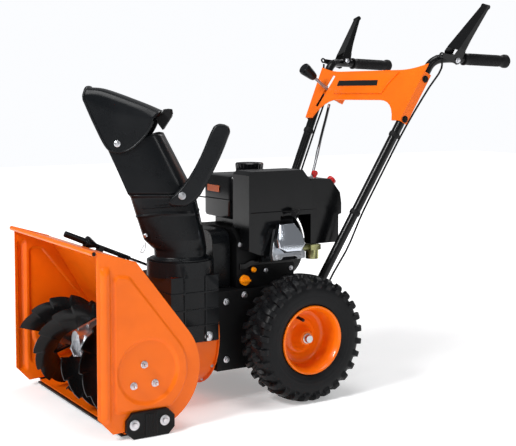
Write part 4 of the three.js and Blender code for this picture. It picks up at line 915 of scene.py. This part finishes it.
class BLOWER_OT_engine(bpy.types.Operator):
    """Make the engine, its covers, tank, carburettor and small controls"""

    bl_idname = "blower.engine"
    bl_label = "Engine"

    def execute(self, context):
        for node, look, bevel, segments, angle in (
                ("crankcase", "black", 5.0, 3, 30),
                ("crankshaft", "steel", 0.6, 2, 30),
                ("cylinder_head", "black_iron", 0.9, 2, 30),
                ("valve_cover", "polished", 2.0, 2, 30),
                ("engine_shroud", "cover", 10.0, 5, 40),
                ("muffler", "hot", 4.0, 3, 30),
                ("fuel_tank", "cover", 2.0, 3, 30),
                ("carburettor", "brass", 1.5, 2, 30),
                ("carburettor_cover", "cover", 9.0, 4, 30),
                ("recoil_cover", "cover", 5.0, 3, 30),
                ("recoil_grip", "rubber", 3.0, 3, 30),
                ("oil_cap", "amber", 1.0, 2, 30),
                ("ignition_key", "red", 1.0, 2, 30),
                ("choke_knob", "red", 2.5, 3, 30)):
            softened(node, LOOKS[look], bevel, segments, angle)
        self.fuel_cap()
        self.dressing()
        return {"FINISHED"}

    def fuel_cap(self):
        """Cap: a turned profile whose radius ripples with the angle into finger ribs."""
        centre = (-30, 592)
        profile = np.array([(0, 588.6), (34, 588.6), (37.5, 590), (38.5, 593), (39.8, 605), (39.4, 609),
                (37, 611.4), (31, 611.8), (28, 610.6), (10, 610.2), (0, 610.2)])
        radius, height = profile.T
        angle = np.linspace(0, 2 * math.pi, 240, endpoint=False)[None]
        ripple = 1 - 0.035 * (0.5 + 0.5 * np.cos(24 * angle)) * step(radius, 33, 37)[:,
                None] * step(607 - height, 0, 2)[:, None]
        r = radius[:, None] * ripple
        points = np.stack([centre[0] + r * np.cos(angle), centre[1] + r * np.sin(angle),
                np.broadcast_to(height[:, None], r.shape)], -1)
        piece("fuel_cap_ribbed", surface(points, wrap_columns=True), LOOKS["cover"], "fuel_cap",
                replaces=["fuel_cap"])

    def dressing(self):
        """Small parts that finish the engine: plug cap, leads, gasket flange, bolts and vent slots."""
        lead = smooth_path([(184, 600, 486), (176, 614, 492), (168, 626, 486), (150, 634, 476),
                (136, 640, 470)], 30)
        piece("spark_plug_cap", together(swept(lead[:12], 8, 18), swept(lead[10:], 3, 12)),
                LOOKS["rubber"], "machine", "grip_rubber")
        gasket = np.array([(104, 476, 346), (113, 476, 346), (113, 476, 362), (104, 476, 362)], float)
        run = np.stack([gasket + (3 if 500 < y < 640 else 0, y - 476,
                0 if y > 500 else -8) for y in np.linspace(478, 646, 12)])
        piece("crankcase_flange", surface(run, wrap_columns=True, caps=True), LOOKS["gloss_black"],
                "machine", "black_paint", bevel=1.6)
        second = turned([(0, 0), (6.8, 0), (6.8, 5), (5.6, 8), (0, 8.4)], "X", (116.8, 516, 337), 24)
        piece("second_oil_plug", second, LOOKS["amber"], "machine", "amber_plastic")
        lean, bank = rotation(-BANK_TILT, "Y"), (0, 0, CRANK[2])
        points, faces = surface(np.stack([np.insert(HEAD_EDGE, 0, x, axis=1) for x in (165.6, 180.5)]),
                wrap_columns=True, caps=True)
        piece("head_flange", (moved(points, lean, bank), faces), LOOKS["cast"], "machine", "cast_alloy",
                bevel=1.6)
        points, faces = together(*[bolt((180.6, y, -46.5), (1, 0, 0), 4.5, 6.5) for y in (548, 622)])
        piece("head_bolts", (moved(points, lean, bank), faces), LOOKS["zinc"], "machine", "bare_steel",
                bevel=0.3)
        spots = [((108.5, 480, 405), (1, 0, 0)), ((108.5, 560, 330), (1, 0, 0)),
                ((108.5, 640, 330), (1, 0, 0))]
        piece("engine_bolts", together(*[bolt(at, way, 4.5, 6.5) for at, way in spots]), LOOKS["zinc"],
                "machine", "bare_steel", bevel=0.3)
        seam = [(x, 478.2, 517 + 0.012 * x) for x in (-112, -60, 0, 60)]
        piece("tank_seam", swept(np.array(seam, float), 2.2, 10), LOOKS["cover"], "machine",
                "gloss_plastic")
        crease = [(156.2, y, 492) for y in (486, 540, 600, 690)]
        piece("shroud_crease", swept(np.array(crease, float), 1.3, 8), LOOKS["cover"], "machine",
                "gloss_plastic")
        louvres = []
        for a in np.radians(np.arange(0, 360, 15)):
            radial = np.array([(42 * math.sin(a), 704.8, CRANK[2] + 42 * math.cos(a)),
                    (68 * math.sin(a + 0.18), 704.6, CRANK[2] + 68 * math.cos(a + 0.18))])
            louvres.append(swept(radial, 1.8, 8))
        hub = turned([(0, 0), (34, 0), (34, 3), (30, 5), (0, 5.5)], "Y", (CRANK[0], 704, CRANK[2]), 40)
        piece("recoil_louvres", together(hub, *louvres), LOOKS["cover"], "machine", "gloss_plastic")
        badge = np.array([(-66, 478.6, 536), (0, 478.6, 536), (0, 478.6, 554), (-66, 478.6, 554)], float)
        plate = surface(np.stack([badge, badge + (0, -0.8, 0)]), wrap_columns=True, caps=True)
        piece("tank_badge", plate, LOOKS["orange"], "machine", "orange_paint", bevel=0.3)


# ---- Handles and dash ---------------------------------------------------------------------------

TUBE_START, TUBE_FOOT, TUBE_SHOULDER = np.array([144.5, 671, 212]), np.array([145.5, 698,
        270]), np.array([243.0, 1018, 895])
TUBE_NECK, TUBE_END = np.array([258.0, 1052, 902]), np.array([271.0, 1264, 896])
LEVER_ROLL = math.radians(15.5)


class BLOWER_OT_handles(bpy.types.Operator):
    """Make the handle tubes, grips, clutch levers and cables"""

    bl_idname = "blower.handles"
    bl_label = "Handles and levers"

    def execute(self, context):
        for side, hand in ((1, "left"), (-1, "right")):
            flip = np.array([side, 1, 1])
            line = [TUBE_START * flip, TUBE_FOOT * flip, TUBE_SHOULDER * flip, TUBE_NECK * flip,
                    TUBE_END * flip]
            tube = swept(bent_path(line, 24, 9), 12.5, 28)
            piece(f"{hand}_tube", tube, LOOKS["gloss_black"], "machine", replaces=[f"{hand}_handle_tube"])
            self.grip(side, hand)
            softened(f"{hand}_clutch_lever", LOOKS["gloss_black"], 1.2, 2)
            centre = pivot_mm(f"{hand}_lever_press")
            pin = np.array([math.cos(LEVER_ROLL), 0, -side * math.sin(LEVER_ROLL)])
            ends = [bolt(centre + s * 23.5 * pin, s * pin, 5.5, 8) for s in (-1, 1)]
            piece(f"{hand}_lever_bolt", together(*ends), LOOKS["zinc"], "machine", "bare_steel", bevel=0.3)
            foot = [bolt((side * (145 + 12.5), 677.5 + (z - 226) * 0.458, z), (side, 0, 0), 6.5,
                    10) for z in (226, 262)]
            piece(f"{hand}_foot_bolts", together(*foot), LOOKS["zinc"], "machine", "bare_steel", bevel=0.4)
            softened(f"{hand}_control_cable", LOOKS["rubber"], 0)
            for number, height in enumerate((478, 690), 1):
                share = (height - 270) / 625
                spot = TUBE_FOOT + (TUBE_SHOULDER - TUBE_FOOT) * share
                way = (TUBE_SHOULDER - TUBE_FOOT) / np.linalg.norm(TUBE_SHOULDER - TUBE_FOOT)
                path = np.linspace(spot - way * 7, spot + way * 7, 5) * flip
                band = swept(path, np.array([13.4, 15, 15, 15, 13.4]), 28)
                piece(f"{hand}_cable_clip_{number}", band, LOOKS["rubber"], "machine", "grip_rubber")
        return {"FINISHED"}

    def grip(self, side, hand):
        """Sleeve whose radius follows its length: flared end, finger waves and a collar."""
        way = (TUBE_END - TUBE_NECK) / np.linalg.norm(TUBE_END - TUBE_NECK)
        along = np.linspace(-149, 10, 140)
        radius = 16.1 + 3.4 * step(along, -14, -2) - 4.5 * step(along, 3,
                10) ** 2 + 1.6 * (1 - step(along, -146, -138))
        radius += 0.75 * np.cos(along * 2 * math.pi / 6.0) * step(along, -134,
                -130) * (1 - step(along, -26, -20))
        path = (TUBE_END + along[:, None] * way) * (side, 1, 1)
        piece(f"{hand}_grip_ribbed", swept(path, radius, 40), LOOKS["rubber"], "machine",
                replaces=[f"{hand}_grip"], smooth=50)


class BLOWER_OT_dash(bpy.types.Operator):
    """Make the dash panel and the gear lever"""

    bl_idname = "blower.dash"
    bl_label = "Dash panel"

    def execute(self, context):
        softened("dash_panel", LOOKS["orange"], 1.0, 3)
        softened("gear_lever", LOOKS["steel"], 0.5)
        softened("gear_knob", LOOKS["plastic"], 2.0, 3)
        lean = math.atan2(TUBE_SHOULDER[2] - TUBE_FOOT[2], TUBE_SHOULDER[1] - TUBE_FOOT[1])
        turn = rotation(lean, "X")
        centre = (0, 1010.8, 881)
        bar = np.array([(-126, -71, 19.8), (70, -71, 19.8), (64, -54, 19.8), (-126, -54, 19.8)], float)
        points, faces = surface(np.stack([bar, bar + (0, 0, 2.2)]), wrap_columns=True, caps=True)
        piece("dash_bar", (moved(points, turn, centre), faces), LOOKS["label"], "machine",
                "black_plastic", bevel=0.4)
        spots = [(s * (256.5 + 0.139 * y), y, 3.0) for s in (-1, 1) for y in (-44, -168)]
        screws = [bolt(moved(np.array([spot]), turn, centre)[0], (math.copysign(1, spot[0]), 0, 0), 6,
                10) for spot in spots]
        piece("dash_bolts", together(*screws), LOOKS["black"], "machine", "black_paint", bevel=0.4)
        rod = np.array([(-204, 986, 770), (-193, 966, 728), (-178, 938, 672), (-156, 906, 610),
                (-134, 872, 552), (-120, 826, 470), (-114, 766, 380), (-106, 712, 262)], float)
        piece("gear_rod", swept(smooth_path(rod, 60), 4.2, 12), LOOKS["steel"], "machine", "bare_steel")
        cable = np.array([(-190, 972, 760), (-180, 948, 700), (-164, 914, 630), (-144, 880, 552),
                (-128, 838, 470), (-124, 776, 380), (-118, 712, 262)], float)
        piece("gear_cable", swept(smooth_path(cable, 60), 2.6, 10), LOOKS["rubber"], "machine",
                "grip_rubber")
        return {"FINISHED"}


# ---- Stage --------------------------------------------------------------------------------------

class BLOWER_OT_stage(bpy.types.Operator):
    """Lay the pale floor, which glows as painted light, and set the lights and the camera"""

    bl_idname = "blower.stage"
    bl_label = "Stage"

    def execute(self, context):
        settings = context.scene.blower_settings
        half = 9.0
        ground = bpy.data.meshes.new("floor")
        ground.from_pydata([(-half, -half, -0.0005), (half, -half, -0.0005), (half, half, -0.0005),
                (-half, half, -0.0005)], [], [(0, 1, 2, 3)])
        floor = bpy.data.objects.new("floor", ground)
        context.scene.collection.objects.link(floor)
        # Painted light: the floor glows though it is no lamp, so the open floor fades into the white
        # backdrop.
        look = Look("pale_floor_painted_glow", Roughness=0.7, Specular_IOR_Level=0.0, Emission_Strength=1.0)
        look.feed("Base Color", look.mix(look.noise(0.8, 2.0), rgb(0.86, 0.86, 0.87), rgb(0.9, 0.9, 0.9)))
        # Painted glow: 0.3 within 0.9 m of the floor's middle, rising to 0.95 beyond 3.4 m.
        away = look.node("ShaderNodeVectorMath", {"operation": "LENGTH"}, {0: look.place}, output=1)
        look.feed("Emission Color", look.mix(look.ramp(away, 0.9, 3.4), rgb(0.3, 0.3, 0.3),
                rgb(0.95, 0.95, 0.95)))
        ground.materials.append(look.material)
        world = bpy.data.worlds.new("studio")
        world.use_nodes = True
        nodes, links = world.node_tree.nodes, world.node_tree.links
        nodes["Background"].inputs["Color"].default_value = (0.97, 0.98, 1.0, 1)
        seen = nodes.new("ShaderNodeMapRange")
        seen.inputs["To Min"].default_value, seen.inputs["To Max"].default_value = settings.sky, 1.0
        links.new(nodes.new("ShaderNodeLightPath").outputs["Is Camera Ray"], seen.inputs["Value"])
        links.new(seen.outputs["Result"], nodes["Background"].inputs["Strength"])
        context.scene.world = world
        context.scene.view_settings.view_transform = "Standard"
        aim = Vector((0, 0, 0.45))
        lamps = (("key", (0.9, -3.2, 2.7), 1.0, settings.key),
                ("fill", (4.4, 0.2, 2.4), 1.0, settings.fill), ("back", (-1.5, 3.2, 3.0), 2.0,
                        settings.back),
                 ("top", (0.3, -0.2, 4.0), 1.8, settings.top))
        for name, spot, size, power in lamps:
            lamp = bpy.data.lights.new(name, "AREA")
            lamp.energy, lamp.size = power, size
            obj = bpy.data.objects.new(name, lamp)
            obj.location = spot
            obj.rotation_euler = (aim - Vector(spot)).to_track_quat("-Z", "Y").to_euler()
            context.scene.collection.objects.link(obj)
        camera = bpy.data.cameras.new("view")
        camera.sensor_width, camera.lens = 36.0, settings.lens
        camera.shift_x, camera.shift_y = -0.0207, -0.1213
        camera.clip_end = 60
        eye = bpy.data.objects.new("view", camera)
        eye.location = (2.5499, MOUTH - 0.9503, 0.801)
        eye.rotation_euler = (math.radians(90 - settings.elevation), 0, math.radians(settings.azimuth))
        context.scene.collection.objects.link(eye)
        context.scene.camera = eye
        return {"FINISHED"}


class BlowerSettings(bpy.types.PropertyGroup):
    """Sizes and colours that a user may change"""

    paint: bpy.props.FloatVectorProperty(name="Paint", description="Powder coat colour", subtype="COLOR",
            default=(0.9, 0.155, 0.003), min=0, max=1)
    azimuth: bpy.props.FloatProperty(name="Azimuth", description="Camera heading in degrees", default=58.1)
    elevation: bpy.props.FloatProperty(name="Elevation", description="Camera height angle in degrees",
            default=3.5)
    lens: bpy.props.FloatProperty(name="Lens", description="Focal length", default=75.23, unit="CAMERA")
    sky: bpy.props.FloatProperty(name="Sky", description="Strength of the surrounding light",
            default=0.24, min=0)
    key: bpy.props.FloatProperty(name="Key light", description="Power of the main lamp", default=115.0,
            unit="POWER")
    fill: bpy.props.FloatProperty(name="Fill light", description="Power of the side lamp", default=25.0,
            unit="POWER")
    back: bpy.props.FloatProperty(name="Back light", description="Power of the lamp behind", default=40.0,
            unit="POWER")
    top: bpy.props.FloatProperty(name="Top light", description="Power of the overhead lamp", default=60.0,
            unit="POWER")


class BLOWER_PT_panel(bpy.types.Panel):
    """Lists the snow blower's operators"""

    bl_idname = "BLOWER_PT_panel"
    bl_label = "Snow Blower"
    bl_space_type = "VIEW_3D"
    bl_region_type = "UI"
    bl_category = "Snow Blower"

    def draw(self, context):
        for name in ("paint", "sky", "key", "fill", "back", "top"):
            self.layout.prop(context.scene.blower_settings, name)
        for operator in OPERATORS:
            self.layout.operator(operator.bl_idname)


OPERATORS = (BLOWER_OT_stage, BLOWER_OT_housing, BLOWER_OT_augers, BLOWER_OT_chute, BLOWER_OT_cleanout,
             BLOWER_OT_frame, BLOWER_OT_wheels, BLOWER_OT_engine, BLOWER_OT_handles, BLOWER_OT_dash)


def register():
    for cls in (BlowerSettings, *OPERATORS, BLOWER_PT_panel):
        bpy.utils.register_class(cls)
    bpy.types.Scene.blower_settings = bpy.props.PointerProperty(type=BlowerSettings)


def unregister():
    del bpy.types.Scene.blower_settings
    for cls in reversed((BlowerSettings, *OPERATORS, BLOWER_PT_panel)):
        bpy.utils.unregister_class(cls)


def main():
    register()
    make_looks(bpy.context.scene.blower_settings)
    for operator in OPERATORS:
        getattr(bpy.ops.blower, operator.bl_idname.split(".")[1])()


if __name__ == "__main__":
    main()
